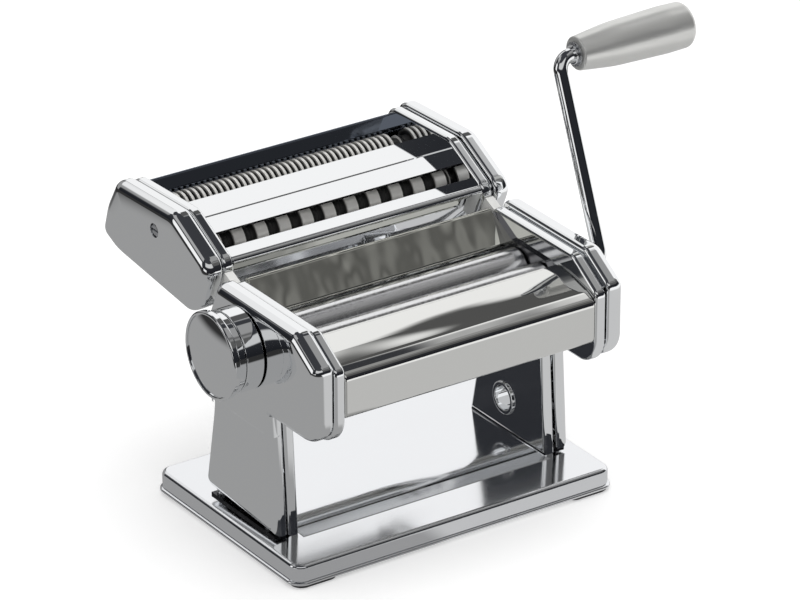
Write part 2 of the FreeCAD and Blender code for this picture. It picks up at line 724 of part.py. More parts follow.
def index_ring():
    """Fixed ring with a half-circle groove and a pocket for each roller setting."""
    axis = (KNOB_Y, ROLLER_Z)
    profile = [(-COVER_X, SHAFT_R + 0.4), (-COVER_X, INDEX_R), (INDEX_FACE + 6.6, INDEX_R, 0.4),
               (INDEX_FACE + 5.8, INDEX_R - 0.8, 0.4), (INDEX_FACE + 5.0, INDEX_R, 0.4),
               (INDEX_FACE, INDEX_R, 1.2), (INDEX_FACE, SHAFT_R + 0.4)]
    ring = turned(profile, axis)
    hollow = turned([(-COVER_X + 1, SHAFT_R + 2.4), (-COVER_X + 1, INDEX_R - 2),
                     (INDEX_FACE + 5, INDEX_R - 2), (INDEX_FACE + 5, SHAFT_R + 2.4)], axis)
    sleeve = tube(-COVER_X, -COVER_X + SHEET + 1, COLLAR_SLEEVE_R, SHAFT_R + 0.4, axis)
    cuts = [hollow]
    face_band = tube(INDEX_FACE - 1, INDEX_FACE + GROOVE_DEPTH, DETENT_R + PIN_R + 0.2,
                     DETENT_R - PIN_R - 0.2, axis)
    lower_half = block((INDEX_FACE - 2, -COVER_X), (KNOB_Y - 30, KNOB_Y + 30),
                       (ROLLER_Z - 30, ROLLER_Z))
    cuts.append(face_band.common(lower_half))
    for position in range(POSITIONS):
        spot = knob_at(-POSITION_STEP * position, DETENT_R)
        cuts.append(rod(INDEX_FACE - 1, INDEX_FACE + GROOVE_DEPTH, PIN_R + 0.5, spot))
    for at in index_screw_spots():
        cuts.append(rod(INDEX_FACE - 1, INDEX_FACE + INDEX_HEAD, INDEX_HEAD_R + TINY, at))
        cuts.append(rod(INDEX_FACE - 1, -COVER_X + 1, INDEX_SCREW_HOLE_R, at))
    return without(joined([ring, sleeve]), cuts)


def index_screw_spots():
    return [knob_at(angle, DETENT_R) for angle in INDEX_SCREW_ANGLES]


def index_screws():
    """Screws that hold the index ring to the left cover."""
    screws = []
    for at in index_screw_spots():
        head = rod(INDEX_FACE + TINY, INDEX_FACE + INDEX_HEAD, INDEX_HEAD_R, at)
        shank = rod(INDEX_FACE + TINY, -COVER_X + SHEET + 1, INDEX_SCREW_R, at)
        screws.append(joined([head, shank]))
    return group(screws)


def knob_body():
    axis = (KNOB_Y, ROLLER_Z)
    profile = [(KNOB_BACK, SHAFT_R + RUN), (KNOB_BACK, KNOB_BODY_R, 0.8),
               (KNOB_RIM_BACK, KNOB_BODY_R, 0.5), (KNOB_RIM_BACK, KNOB_RIM_R, 0.9),
               (KNOB_FACE + 1.4, KNOB_RIM_R, 1.0), (KNOB_FACE + 1.4, KNOB_RIM_R - 1.5),
               (KNOB_FACE + 2.2, KNOB_RIM_R - 1.5), (KNOB_FACE + 2.2, SHAFT_R + RUN)]
    body = turned(profile, axis)
    key = block((SHAFT_END - 1.2, KNOB_BACK - 0.6), (KNOB_Y - 6, KNOB_Y + 6),
                (ROLLER_Z + SHAFT_R - 1.2 + RUN, ROLLER_Z + SHAFT_R + 1))
    key = key.common(rod(SHAFT_END - 1.2, KNOB_BACK, SHAFT_R + 0.5, axis))
    pin_hole = rod(KNOB_BACK - 2, KNOB_BACK + 1, PIN_R, knob_at(0, DETENT_R))
    return joined([body, key]).cut(pin_hole)


def knob_cap():
    """Polished face disc pressed into the knob's rim."""
    axis = (KNOB_Y, ROLLER_Z)
    edge = KNOB_RIM_R - 1.6
    profile = [(KNOB_FACE + 2.2, 0), (KNOB_FACE + 2.2, edge), (KNOB_FACE + 0.5, edge, 0.8),
               (KNOB_FACE, edge - 1.6, 3.0), (KNOB_FACE, 0)]
    return turned(profile, axis)


def detent_pin():
    at = knob_at(0, DETENT_R)
    return rod(KNOB_BACK - 2, INDEX_FACE + GROOVE_DEPTH - 0.4, PIN_R, at)


# Crank

def crank_collar_at(at):
    sleeve = tube(COVER_X - SHEET - 0.6, COVER_X, COLLAR_SLEEVE_R, COLLAR_R, at)
    flange = turned([(COVER_X, COLLAR_R), (COVER_X, COLLAR_FLANGE_R),
                     (COLLAR_OUT, COLLAR_FLANGE_R, 1.0), (COLLAR_OUT, COLLAR_R, 0.4)], at)
    return joined([sleeve, flange])


def crank_path():
    """Centre line of the crank rod as straight runs joined by tangent arcs."""
    corners = [VEC(ROD_START, FRONT_Y, ROLLER_Z), VEC(ARM_X, FRONT_Y, ROLLER_Z),
               VEC(ARM_X, GRIP_Y, GRIP_Z), VEC(GRIP_BORE_END - 1, GRIP_Y, GRIP_Z)]
    edges = []
    start = corners[0]
    for index in (1, 2):
        here = corners[index]
        back = (corners[index - 1] - here).normalize()
        onward = (corners[index + 1] - here).normalize()
        reach = ARM_BEND / math.tan(back.getAngle(onward) / 2)
        bisector = (back + onward).normalize()
        middle = here + bisector * (math.hypot(reach, ARM_BEND) - ARM_BEND)
        edges.append(Part.makeLine(start, here + back * reach))
        edges.append(Part.Arc(here + back * reach, middle, here + onward * reach).toShape())
        start = here + onward * reach
    edges.append(Part.makeLine(start, corners[3]))
    return Part.Wire(edges)


def crank_rod():
    path = crank_path()
    section = Part.Wire(Part.makeCircle(ROD_R, VEC(ROD_START, FRONT_Y, ROLLER_Z), VEC(1, 0, 0)))
    swept = path.makePipeShell([section], True, False)
    expected = math.pi * ROD_R ** 2 * path.Length
    print("crank rod volume over section times length", round(swept.Volume / expected, 4))
    pin_hole = Part.makeCylinder(PIN_R, 4 * PIN_HALF, VEC(PIN_X, FRONT_Y - 2 * PIN_HALF, ROLLER_Z),
                                 VEC(0, 1, 0))
    stop = turned([(GRIP_START - 2.6, 0), (GRIP_START - 2.6, ROD_R + 1.4), (GRIP_START - 1.2, ROD_R + 1.4),
                   (GRIP_START - 1.2, 0)], (GRIP_Y, GRIP_Z))
    return joined([swept, stop]).cut(pin_hole)


def drive_pin():
    pin = Part.makeCylinder(PIN_R, 2 * PIN_HALF, VEC(PIN_X, FRONT_Y - PIN_HALF, ROLLER_Z),
                            VEC(0, 1, 0))
    return pin


def crank_grip():
    """Swelling grip that turns freely on the rod."""
    axis = (GRIP_Y, GRIP_Z)
    mouth = GRIP_START + 2.6
    profile = [(GRIP_START, ROD_R + 1.6, 0.3), (GRIP_START, 8.4, 0.9), (134.0, 10.8, 90.0),
               (166.0, 11.8, 60.0), (GRIP_END, 11.4, 3.4), (GRIP_END, 0),
               (GRIP_BORE_END, 0), (GRIP_BORE_END, ROD_R + RUN), (mouth, ROD_R + RUN),
               (mouth, ROD_R + 1.6)]
    return turned(profile, axis)


def grip_washer():
    axis = (GRIP_Y, GRIP_Z)
    return tube(GRIP_START - 1.2, GRIP_START - 0.2, ROD_R + 2.6, ROD_R, axis)


# Cutter unit

def unit_plate_outline():
    return inset(UNIT_OUTLINE, UNIT_INSET)


def cutter_frame(side):
    holes = [rod(PLATE_X - 1, PLATE_OUT_X + 1, UNIT_TIE_R + RUN, at) for at in UNIT_TIE_SPOTS]
    holes += [rod(PLATE_X - 1, PLATE_OUT_X + 1, UNIT_BUSH_R + RUN, at) for at in UNIT_AXES]
    return on_side(rimmed_plate(unit_plate_outline(), holes), side)


def cutter_cover(side):
    shell = rounded_at_x(slab(UNIT_OUTLINE, COVER_IN_X, COVER_X), COVER_X, COVER_ROUND)
    hollow = slab(inset(UNIT_OUTLINE, SHEET), COVER_IN_X - 1, COVER_X - SHEET)
    shell = shell.cut(rounded_at_x(hollow, COVER_X - SHEET, COVER_ROUND - SHEET))
    dimple = rod(COVER_X - 3.4, COVER_X - SHEET + TINY, 4.8, UNIT_SCREW)
    shell = joined([shell, dimple] + inner_lip(UNIT_OUTLINE, unit_plate_outline()))
    cuts = [rod(COVER_X - 2.2, COVER_X + 1, 3.6, UNIT_SCREW),
            rod(COVER_X - 5, COVER_X + 1, 1.8, UNIT_SCREW)]
    if side > 0:
        cuts += [rod(COVER_X - 6, COVER_X + 1, COLLAR_SLEEVE_R, at) for at in UNIT_SOCKETS]
    return on_side(without(shell, cuts), side)


def cutter_cover_posts():
    posts = []
    for side in BOTH_SIDES:
        post = rod(PLATE_OUT_X, COVER_X - 3.4, 3.4, UNIT_SCREW)
        posts.append(on_side(post.cut(rod(COVER_X - 10, COVER_X, 1.7, UNIT_SCREW)), side))
    return group(posts)


def cutter_cover_screws():
    screws = []
    for side in BOTH_SIDES:
        head = rounded_at_x(rod(COVER_X - 2.2, COVER_X - 0.4, 3.3, UNIT_SCREW), COVER_X - 0.4, 0.8)
        shank = rod(COVER_X - 9, COVER_X - 2, 1.7, UNIT_SCREW)
        slot = block((COVER_X - 1.3, COVER_X), (UNIT_SCREW[0] - 4, UNIT_SCREW[0] + 4),
                     (UNIT_SCREW[1] - 0.5, UNIT_SCREW[1] + 0.5))
        screws.append(on_side(joined([head, shank]).cut(slot), side))
    return group(screws)


def cutter_front_plate():
    return slab(strip(FRONT_PLATE_PATH, THIN), -PLATE_X, PLATE_X)


def cutter_roof():
    """Middle sheet between the two inlets, falling both ways from a crease along it."""
    return slab(strip(ROOF_PATH, THIN), -PLATE_X, PLATE_X)


def cutter_rear_plate():
    return slab(strip(REAR_PLATE_PATH, THIN), -PLATE_X, PLATE_X)


def cutter_bushes():
    bushes = []
    for side in BOTH_SIDES:
        for at in UNIT_AXES:
            bushes.append(bush(side, at, CUTTER_NECK_R + RUN, UNIT_BUSH_R, UNIT_BUSH_R + 0.6))
    return group(bushes)


def rib_centres(pitch, rib, shift):
    """Rib centres along X; shift is 0 for a rib in the middle or 0.5 for a gap there."""
    limit = ROLLER_X - 0.6 - rib / 2
    count = math.floor(limit / pitch - shift)
    lowest = -count - (1 if shift else 0)
    return [(number + shift) * pitch for number in range(lowest, count + 1)]


def ribbed_profile(pitch, rib, shift, rings, neck_end):
    """Half section (x, r) of a cutting roller; rings roughen the floor of each wide groove."""
    ring_r = CUTTER_CORE_R + GROOVE_RING
    points = [(-RIM_X + 1, 0), (-RIM_X + 1, CUTTER_NECK_R), (-ROLLER_X, CUTTER_NECK_R),
              (-ROLLER_X, CUTTER_CORE_R)]
    for centre in rib_centres(pitch, rib, shift):
        for place in (centre - rib / 2, centre + rib / 2):
            pair = [(place, CUTTER_CORE_R), (place, CUTTER_RIB_R)]
            points += pair if place < centre else pair[::-1]
        for ring in range(rings):
            ring_x = centre + pitch / 2 + (ring - (rings - 1) / 2) * GROOVE_RING_PITCH
            if ring_x + 1 < ROLLER_X:
                points += [(ring_x - 0.4, CUTTER_CORE_R), (ring_x - 0.4, ring_r),
                           (ring_x + 0.4, ring_r), (ring_x + 0.4, CUTTER_CORE_R)]
    points += [(ROLLER_X, CUTTER_CORE_R), (ROLLER_X, CUTTER_NECK_R), (neck_end, CUTTER_NECK_R),
               (neck_end, 0)]
    return points


def cutter_roller(at, pitch, rib, shift, rings, driven):
    neck_end = NECK_END if driven else GEAR_OUT + 0.6
    roller = turned(ribbed_profile(pitch, rib, shift, rings, neck_end), at)
    return without(roller, socket_cuts(at)) if driven else roller


def comb(axis, offset, low, pitch, rib, shift):
    """Scraper plate under a cutting roller, with a finger standing in every groove."""
    near = abs(offset) - COMB_THICKNESS / 2
    shoulder = axis[1] - math.sqrt((CUTTER_RIB_R + 0.4) ** 2 - near ** 2) - TINY
    tip = axis[1] - math.sqrt((CUTTER_CORE_R + 0.7) ** 2 - near ** 2) - TINY
    finger = pitch - rib - 0.7
    points = [(-PLATE_X, low, 0), (PLATE_X, low, 0), (PLATE_X, shoulder, 0)]
    for centre in reversed(rib_centres(pitch, rib, 0.5 - shift)):
        points += [(centre + finger / 2, shoulder, 0), (centre + finger / 2, tip, 0),
                   (centre - finger / 2, tip, 0), (centre - finger / 2, shoulder, 0)]
    points.append((-PLATE_X, shoulder, 0))
    back = axis[0] + offset - COMB_THICKNESS / 2
    return prism(points, front_point(back), VEC(0, COMB_THICKNESS, 0))


def cutter_combs():
    return group([comb(WIDE_FRONT, COMB_OFFSET, WIDE_COMB_LOW[0], WIDE_PITCH, WIDE_RIB, 0.5),
                  comb(WIDE_REAR, -COMB_OFFSET, WIDE_COMB_LOW[1], WIDE_PITCH, WIDE_RIB, 0),
                  comb(FINE_FRONT, COMB_OFFSET, FINE_COMB_LOW[0], FINE_PITCH, FINE_RIB, 0),
                  comb(FINE_REAR, -COMB_OFFSET, FINE_COMB_LOW[1], FINE_PITCH, FINE_RIB, 0.5)])


def cutter_collars():
    return group([crank_collar_at(at) for at in UNIT_SOCKETS])


# Slide between the machine and the cutter unit

def slope_bar(x_range, along, away):
    """Bar with its length up the rear slope, starting from the main plate's rim."""
    corners = [along_slope(RAIL_START, s, a) for s, a in
               ((along[0], away[0]), (along[1], away[0]), (along[1], away[1]), (along[0], away[1]))]
    return slab([(y, z, 0) for y, z in corners], *x_range)


def guide_rails():
    rail = slope_bar(RAIL_X, (RAIL_FROM, RAIL_TO), (0, RAIL_HEIGHT))
    return group([on_side(rail, side) for side in BOTH_SIDES])


def guide_channels():
    """Blocks on the cutter unit, slotted from below and closed above the rails."""
    body = slope_bar((RAIL_X[0] - CHANNEL_WALL, RIM_X), (0, RAIL_TO + CHANNEL_TOP),
                     (CHANNEL_CLEAR, FRAME_INSET + UNIT_GAP + UNIT_INSET))
    slot = slope_bar((RAIL_X[0] - TINY, RAIL_X[1] + TINY), (-5, RAIL_TO + TINY),
                     (0, RAIL_HEIGHT + 2 * TINY))
    channel = body.cut(slot)
    return group([on_side(channel, side) for side in BOTH_SIDES])


def all_nodes():
    front_gear, rear_gear = gear_pair((FRONT_Y, ROLLER_Z), (REAR_Y, ROLLER_Z), MAIN_TEETH,
                                      MAIN_GEAR, NECK_R)
    wide_gears = gear_pair(WIDE_FRONT, WIDE_REAR, UNIT_TEETH, UNIT_GEAR, CUTTER_NECK_R)
    fine_gears = gear_pair(FINE_FRONT, FINE_REAR, UNIT_TEETH, UNIT_GEAR, CUTTER_NECK_R)
    nodes = {
        "base_plate": base_plate(),
        "rubber_feet": rubber_feet(),
        "foot_screws": foot_screws(),
        "clamp_eyelet": clamp_eyelet(),
        "front_housing": front_housing(),
        "rear_housing": rear_housing(),
        "hopper_plate": hopper_plate(),
        "side_guards": side_guards(),
        "front_scraper": scraper(FRONT_SCRAPER, -1),
        "rear_scraper": scraper(REAR_SCRAPER, 1),
        "tie_rods": tie_rods_at(TIE_SPOTS, TIE_R),
        "tie_rod_nuts": tie_nuts_at(TIE_SPOTS, TIE_R, NUT_R),
        "front_bushes": front_bushes(),
        "adjuster_bush": adjuster_bush(),
        "front_roller": front_roller(),
        "rear_roller": rear_roller(),
        "front_gear": front_gear,
        "rear_gear": rear_gear,
        "gear_bridge": gear_bridge(),
        "bridge_posts": bridge_posts(),
        "adjuster_shaft": adjuster_shaft(),
        "roller_bushes": roller_bushes(),
        "index_ring": index_ring(),
        "index_screws": index_screws(),
        "knob_body": knob_body(),
        "knob_cap": knob_cap(),
        "detent_pin": detent_pin(),
        "crank_collar": crank_collar_at((FRONT_Y, ROLLER_Z)),
        "crank_rod": crank_rod(),
        "drive_pin": drive_pin(),
        "grip_washer": grip_washer(),
        "crank_grip": crank_grip(),
        "guide_rails": guide_rails(),
        "guide_channels": guide_channels(),
        "cutter_front_plate": cutter_front_plate(),
        "cutter_roof": cutter_roof(),
        "cutter_rear_plate": cutter_rear_plate(),
        "cutter_tie_rods": tie_rods_at(UNIT_TIE_SPOTS, UNIT_TIE_R),
        "cutter_tie_nuts": tie_nuts_at(UNIT_TIE_SPOTS, UNIT_TIE_R, UNIT_NUT_R),
        "cutter_bushes": cutter_bushes(),
        "cutter_cover_posts": cutter_cover_posts(),
        "cutter_cover_screws": cutter_cover_screws(),
        "cutter_collars": cutter_collars(),
        "cutter_combs": cutter_combs(),
        "wide_front_roller": cutter_roller(WIDE_FRONT, WIDE_PITCH, WIDE_RIB, 0.5, 3, True),
        "wide_rear_roller": cutter_roller(WIDE_REAR, WIDE_PITCH, WIDE_RIB, 0, 3, False),
        "fine_front_roller": cutter_roller(FINE_FRONT, FINE_PITCH, FINE_RIB, 0, 0, True),
        "fine_rear_roller": cutter_roller(FINE_REAR, FINE_PITCH, FINE_RIB, 0.5, 0, False),
        "wide_front_gear": wide_gears[0],
        "wide_rear_gear": wide_gears[1],
        "fine_front_gear": fine_gears[0],
        "fine_rear_gear": fine_gears[1],
    }
    for name, side in (("left", -1), ("right", 1)):
        nodes["side_frame_" + name] = side_frame(side)
        nodes["side_cover_" + name] = side_cover(side)
        nodes["cutter_frame_" + name] = cutter_frame(side)
        nodes["cutter_cover_" + name] = cutter_cover(side)
    return nodes


os.makedirs("parts", exist_ok=True)
for node, shape in all_nodes().items():
    shape.exportStep("parts/" + node + ".step")
    state = "valid" if shape.isValid() else "NOT VALID"
    print(node, state, "solids", len(shape.Solids), "volume", round(shape.Volume, 1))
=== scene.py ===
import bmesh
import bpy
import math
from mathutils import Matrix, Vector
from mathutils.geometry import tessellate_polygon


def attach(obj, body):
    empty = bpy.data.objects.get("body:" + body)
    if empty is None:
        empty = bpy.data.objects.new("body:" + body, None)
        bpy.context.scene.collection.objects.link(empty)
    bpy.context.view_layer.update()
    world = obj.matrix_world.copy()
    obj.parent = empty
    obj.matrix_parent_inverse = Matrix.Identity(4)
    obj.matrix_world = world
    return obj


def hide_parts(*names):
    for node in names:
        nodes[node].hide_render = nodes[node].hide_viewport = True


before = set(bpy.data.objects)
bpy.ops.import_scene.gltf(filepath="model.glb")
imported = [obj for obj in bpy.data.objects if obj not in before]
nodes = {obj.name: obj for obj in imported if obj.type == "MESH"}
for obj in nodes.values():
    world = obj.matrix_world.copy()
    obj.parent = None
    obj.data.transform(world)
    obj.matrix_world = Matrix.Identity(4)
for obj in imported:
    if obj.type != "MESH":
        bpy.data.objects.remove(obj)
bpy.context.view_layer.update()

# Camera
# The machine is seen from its front left and from above, through a long lens. The angles are
# about the middle of the machine, and the slides put it in its place in the picture.

view_azimuth = math.radians(-34.159)
view_elevation = math.radians(25.888)
view_distance = 2.7423
view_target = Vector((0, 0, 0.0752))
slide_right = 0.0072
slide_up = 0.02428
focal_length_pixels = 5734.07
picture_width_pixels = 800

towards_camera = Vector((math.sin(view_azimuth) * math.cos(view_elevation),
                         -math.cos(view_azimuth) * math.cos(view_elevation),
                         math.sin(view_elevation)))
camera_right = Vector((math.cos(view_azimuth), math.sin(view_azimuth), 0))
camera_up = towards_camera.cross(camera_right)

camera_data = bpy.data.cameras.new("camera")
camera_data.sensor_width = 36
camera_data.lens = focal_length_pixels / picture_width_pixels * camera_data.sensor_width
camera_data.clip_start = 0.01
camera_data.clip_end = 50
camera = bpy.data.objects.new("camera", camera_data)
camera.location = (view_target + towards_camera * view_distance
                   + camera_right * slide_right + camera_up * slide_up)
camera.rotation_euler = (-towards_camera).to_track_quat("-Z", "Y").to_euler()
bpy.context.scene.collection.objects.link(camera)
bpy.context.scene.camera = camera
bpy.context.scene.view_settings.view_transform = "Standard"


# Studio surroundings
# White panels stand round the table and hang over it, with dark gaps between them, because
# polished steel shows nothing but what is round it. The lens itself sees plain white.

def add_node(tree, kind, **settings):
    node = tree.nodes.new(kind)
    for name, value in settings.items():
        setattr(node, name, value)
    return node


def maths(tree, operation, first, second=None, clamp=False):
    """Math node whose inputs are numbers or sockets; gives its output socket."""
    node = add_node(tree, "ShaderNodeMath", operation=operation, use_clamp=clamp)
    for index, value in enumerate((first, second)):
        if value is None:
            continue
        if isinstance(value, (int, float)):
            node.inputs[index].default_value = value
        else:
            tree.links.new(value, node.inputs[index])
    return node.outputs[0]


def ramp_between(tree, value, start, end):
    """Rises smoothly from 0 to 1 as the value goes from start to end."""
    node = add_node(tree, "ShaderNodeMapRange", interpolation_type="SMOOTHSTEP")
    tree.links.new(value, node.inputs["Value"])
    node.inputs["From Min"].default_value = start
    node.inputs["From Max"].default_value = end
    return node.outputs["Result"]


def window(tree, value, low, high, edge):
    """1 between low and high, falling to 0 over the edge outside them."""
    return maths(tree, "MULTIPLY", ramp_between(tree, value, low - edge, low),
                 ramp_between(tree, value, high + edge, high))


def split_place(tree, kind, output):
    """X, Y and Z of a place or direction that comes from a node of this kind."""
    split = add_node(tree, "ShaderNodeSeparateXYZ")
    tree.links.new(add_node(tree, kind).outputs[output], split.inputs[0])
    return split.outputs


def bearing_of(tree, place):
    """Bearing of a place or direction in degrees, from X towards Y."""
    bearing = maths(tree, "ARCTAN2", place["Y"], place["X"])
    return maths(tree, "MULTIPLY", bearing, 180 / math.pi)


def mix_colours(tree, share, first, second):
    """Blend of two colours, each a socket or an (r, g, b) value, by a share from a socket."""
    node = add_node(tree, "ShaderNodeMix", data_type="RGBA")
    tree.links.new(share, node.inputs["Factor"])
    # Inputs 6 and 7 and output 2 are the node's sockets for colours
    for index, value in ((6, first), (7, second)):
        if isinstance(value, tuple):
            node.inputs[index].default_value = (*value, 1)
        else:
            tree.links.new(value, node.inputs[index])
    return node.outputs[2]


def grey(level):
    return (level, level, level)


world = bpy.data.worlds.new("studio")
bpy.context.scene.world = world
world.use_nodes = True
sky = world.node_tree
sky.nodes.clear()
direction = split_place(sky, "ShaderNodeTexCoord", "Generated")
bearing = bearing_of(sky, direction)
height = maths(sky, "MULTIPLY", maths(sky, "ARCSINE", direction["Z"]), 180 / math.pi)

# Each panel: bearing from and to, height from and to, softness of its edge, all in degrees,
# and its brightness
panels = (
    (-8, 64, -60, 56, 4, 0.95),
    (26, 44, 44, 62, 3, 0.09),
    (64, 112, 30, 45, 3, 0.85),
    (76, 118, -60, 28, 6, 0.30),
    (148, 168, 4, 31, 3, 0.95),
    (-179, -152, -12, 6, 3, 0.9),
    (-64, -4, 30, 44, 3, 0.10),
    (-64, -4, 44, 48, 3, 0.23),
    (-64, -4, 48, 52, 3, 0.12),
    (-64, -4, 52, 66, 4, 0.30),
    (-155, -75, 28, 46, 5, 0.6),
    (120, 178, 46, 62, 6, 0.4),
)
gap_low = (0.012, 0.013, 0.016)
gap_high = (0.042, 0.044, 0.050)
studio_colour = mix_colours(sky, ramp_between(sky, height, start=-10, end=70), gap_low, gap_high)
for low_bearing, high_bearing, low_height, high_height, edge, brightness in panels:
    inside = maths(sky, "MULTIPLY", window(sky, bearing, low_bearing, high_bearing, edge),
                   window(sky, height, low_height, high_height, edge))
    studio_colour = mix_colours(sky, inside, studio_colour, grey(brightness))

# What is not polished gets an even light from all round
plain_light = 0.62
light_path = add_node(sky, "ShaderNodeLightPath")
seen = mix_colours(sky, light_path.outputs["Is Glossy Ray"], grey(plain_light), studio_colour)
seen = mix_colours(sky, light_path.outputs["Is Camera Ray"], seen, grey(1.0))
background = add_node(sky, "ShaderNodeBackground")
sky.links.new(seen, background.inputs["Color"])
sky.links.new(background.outputs[0], add_node(sky, "ShaderNodeOutputWorld").inputs["Surface"])


# Table
# A pale table top under the machine. The lens sees it white with the machine's soft shadow.
# Polished steel sees a glow of painted light and shade on it: grey, brighter outward at the
# front and right and darker elsewhere.

square = ((-1, -1), (1, -1), (1, 1), (-1, 1))
table_half = 3.0
table_mesh = bpy.data.meshes.new("table")
table_mesh.from_pydata([(x * table_half, y * table_half, 0) for x, y in square],
                       [], [(0, 1, 2, 3)])
table = bpy.data.objects.new("table", table_mesh)
bpy.context.scene.collection.objects.link(table)

table_finish = bpy.data.materials.new("pale_table")
table_finish.use_nodes = True
tree = table_finish.node_tree
tree.nodes.clear()


def hypotenuse(tree, first, second):
    """Length of a line that reaches so far in two directions square to each other."""
    squares = [maths(tree, "MULTIPLY", value, value) for value in (first, second)]
    return maths(tree, "POWER", maths(tree, "ADD", *squares), 0.5)


spot = split_place(tree, "ShaderNodeNewGeometry", "Position")
spot_distance = hypotenuse(tree, spot["X"], spot["Y"])


def table_grey(start, end, near, far):
    """Grey that goes from near to far between two distances from the machine's middle."""
    return mix_colours(tree, ramp_between(tree, spot_distance, start, end), grey(near), grey(far))


# Painted light and shade of the table as polished steel sees it, set by distance and side
bright_grey = table_grey(start=0.33, end=0.48, near=0.56, far=0.95)
dark_grey = table_grey(start=0.42, end=0.56, near=0.33, far=0.03)
bright_side = window(tree, bearing_of(tree, spot), low=-88, high=56, edge=12)
painted_mirror_shade = mix_colours(tree, bright_side, dark_grey, bright_grey)

lens_glow = 0.36
matt_grey = 0.82
rays = add_node(tree, "ShaderNodeLightPath")
is_lens = rays.outputs["Is Camera Ray"]
is_mirror = rays.outputs["Is Glossy Ray"]
shine = add_node(tree, "ShaderNodeEmission")
tree.links.new(mix_colours(tree, is_mirror, grey(lens_glow), painted_mirror_shade), shine.inputs["Color"])
tree.links.new(maths(tree, "ADD", is_lens, is_mirror, clamp=True), shine.inputs["Strength"])
matt = add_node(tree, "ShaderNodeBsdfDiffuse")
tree.links.new(mix_colours(tree, is_mirror, grey(matt_grey), grey(0.0)), matt.inputs["Color"])
both = add_node(tree, "ShaderNodeAddShader")
tree.links.new(shine.outputs[0], both.inputs[0])
tree.links.new(matt.outputs[0], both.inputs[1])
tree.links.new(both.outputs[0], add_node(tree, "ShaderNodeOutputMaterial").inputs["Surface"])
table_mesh.materials.append(table_finish)


# Lamps
# Two large soft lamps, one over the table and one at its left, light what is not polished.
# Polished steel doesn't show them.

def soft_lamp(name, place, size, power):
    data = bpy.data.lights.new(name, "AREA")
    data.shape = "SQUARE"
    data.size = size
    data.energy = power
    lamp = bpy.data.objects.new(name, data)
    lamp.location = place
    lamp.rotation_euler = (view_target - Vector(place)).to_track_quat("-Z", "Y").to_euler()
    lamp.visible_glossy = False
    bpy.context.scene.collection.objects.link(lamp)


soft_lamp("lamp_over", place=(0.3, 0.1, 1.6), size=1.4, power=11)
soft_lamp("lamp_left", place=(-1.2, -0.9, 0.9), size=0.9, power=5)


# Base tray
# The flat foot of the machine: one steel sheet drawn down at its edges, with a small hem along
# the bottom and a shallow pressed step in front of the legs, then satin polished and chromed.

def unit(start, end):
    length = math.hypot(end[0] - start[0], end[1] - start[1])
    return (end[0] - start[0]) / length, (end[1] - start[1]) / length


# A point stands this far beside every bend, so that the flats between bends stay truly flat
beside = 0.05
least_turn = math.radians(0.5)


def rounded_outline(corners, step=5.0):
    """Points round a closed outline of (u, v, radius) corners, each with its outward direction."""
    area = sum(a[0] * b[1] - b[0] * a[1] for a, b in zip(corners, corners[1:] + corners[:1]))
    hand = 1 if area > 0 else -1
    points = []
    for index, here in enumerate(corners):
        # Directions a before and b after the corner
        a = unit(corners[index - 1], here)
        b = unit(here, corners[(index + 1) % len(corners)])
        out_a = (a[1] * hand, -a[0] * hand)
        out_b = (b[1] * hand, -b[0] * hand)
        turn = math.atan2(a[0] * b[1] - a[1] * b[0], a[0] * b[0] + a[1] * b[1])
        radius = here[2]
        if radius <= 0 or abs(turn) < least_turn:
            share = 1 / (1 + out_a[0] * out_b[0] + out_a[1] * out_b[1])
            points.append((here[0], here[1], (out_a[0] + out_b[0]) * share,
                           (out_a[1] + out_b[1]) * share))
            continue
        reach = radius * math.tan(abs(turn) / 2)
        start = (here[0] - a[0] * reach, here[1] - a[1] * reach)
        end = (here[0] + b[0] * reach, here[1] + b[1] * reach)
        swell = radius if turn * hand > 0 else -radius
        centre = (start[0] - out_a[0] * swell, start[1] - out_a[1] * swell)
        points.append((start[0] - a[0] * beside, start[1] - a[1] * beside, *out_a))
        steps = max(2, math.ceil(math.degrees(abs(turn)) / step))
        for number in range(steps + 1):
            angle = turn * number / steps
            out = (out_a[0] * math.cos(angle) - out_a[1] * math.sin(angle),
                   out_a[0] * math.sin(angle) + out_a[1] * math.cos(angle))
            points.append((centre[0] + out[0] * swell, centre[1] + out[1] * swell, *out))
        points.append((end[0] + b[0] * beside, end[1] + b[1] * beside, *out_b))
    return points


def drawn_in(outline, distance):
    """The outline moved in by a distance, as (u, v)."""
    return [(u - out_u * distance, v - out_v * distance) for u, v, out_u, out_v in outline]


def quarter(start, end, bulge, steps=8):
    """Points of a quarter round between two profile points, bulging towards a third."""
    centre = (start[0] + end[0] - bulge[0], start[1] + end[1] - bulge[1])
    points = []
    for number in range(steps + 1):
        angle = math.pi / 2 * number / steps
        points.append((centre[0] + (start[0] - centre[0]) * math.cos(angle)
                       + (end[0] - centre[0]) * math.sin(angle),
                       centre[1] + (start[1] - centre[1]) * math.cos(angle)
                       + (end[1] - centre[1]) * math.sin(angle)))
    return points


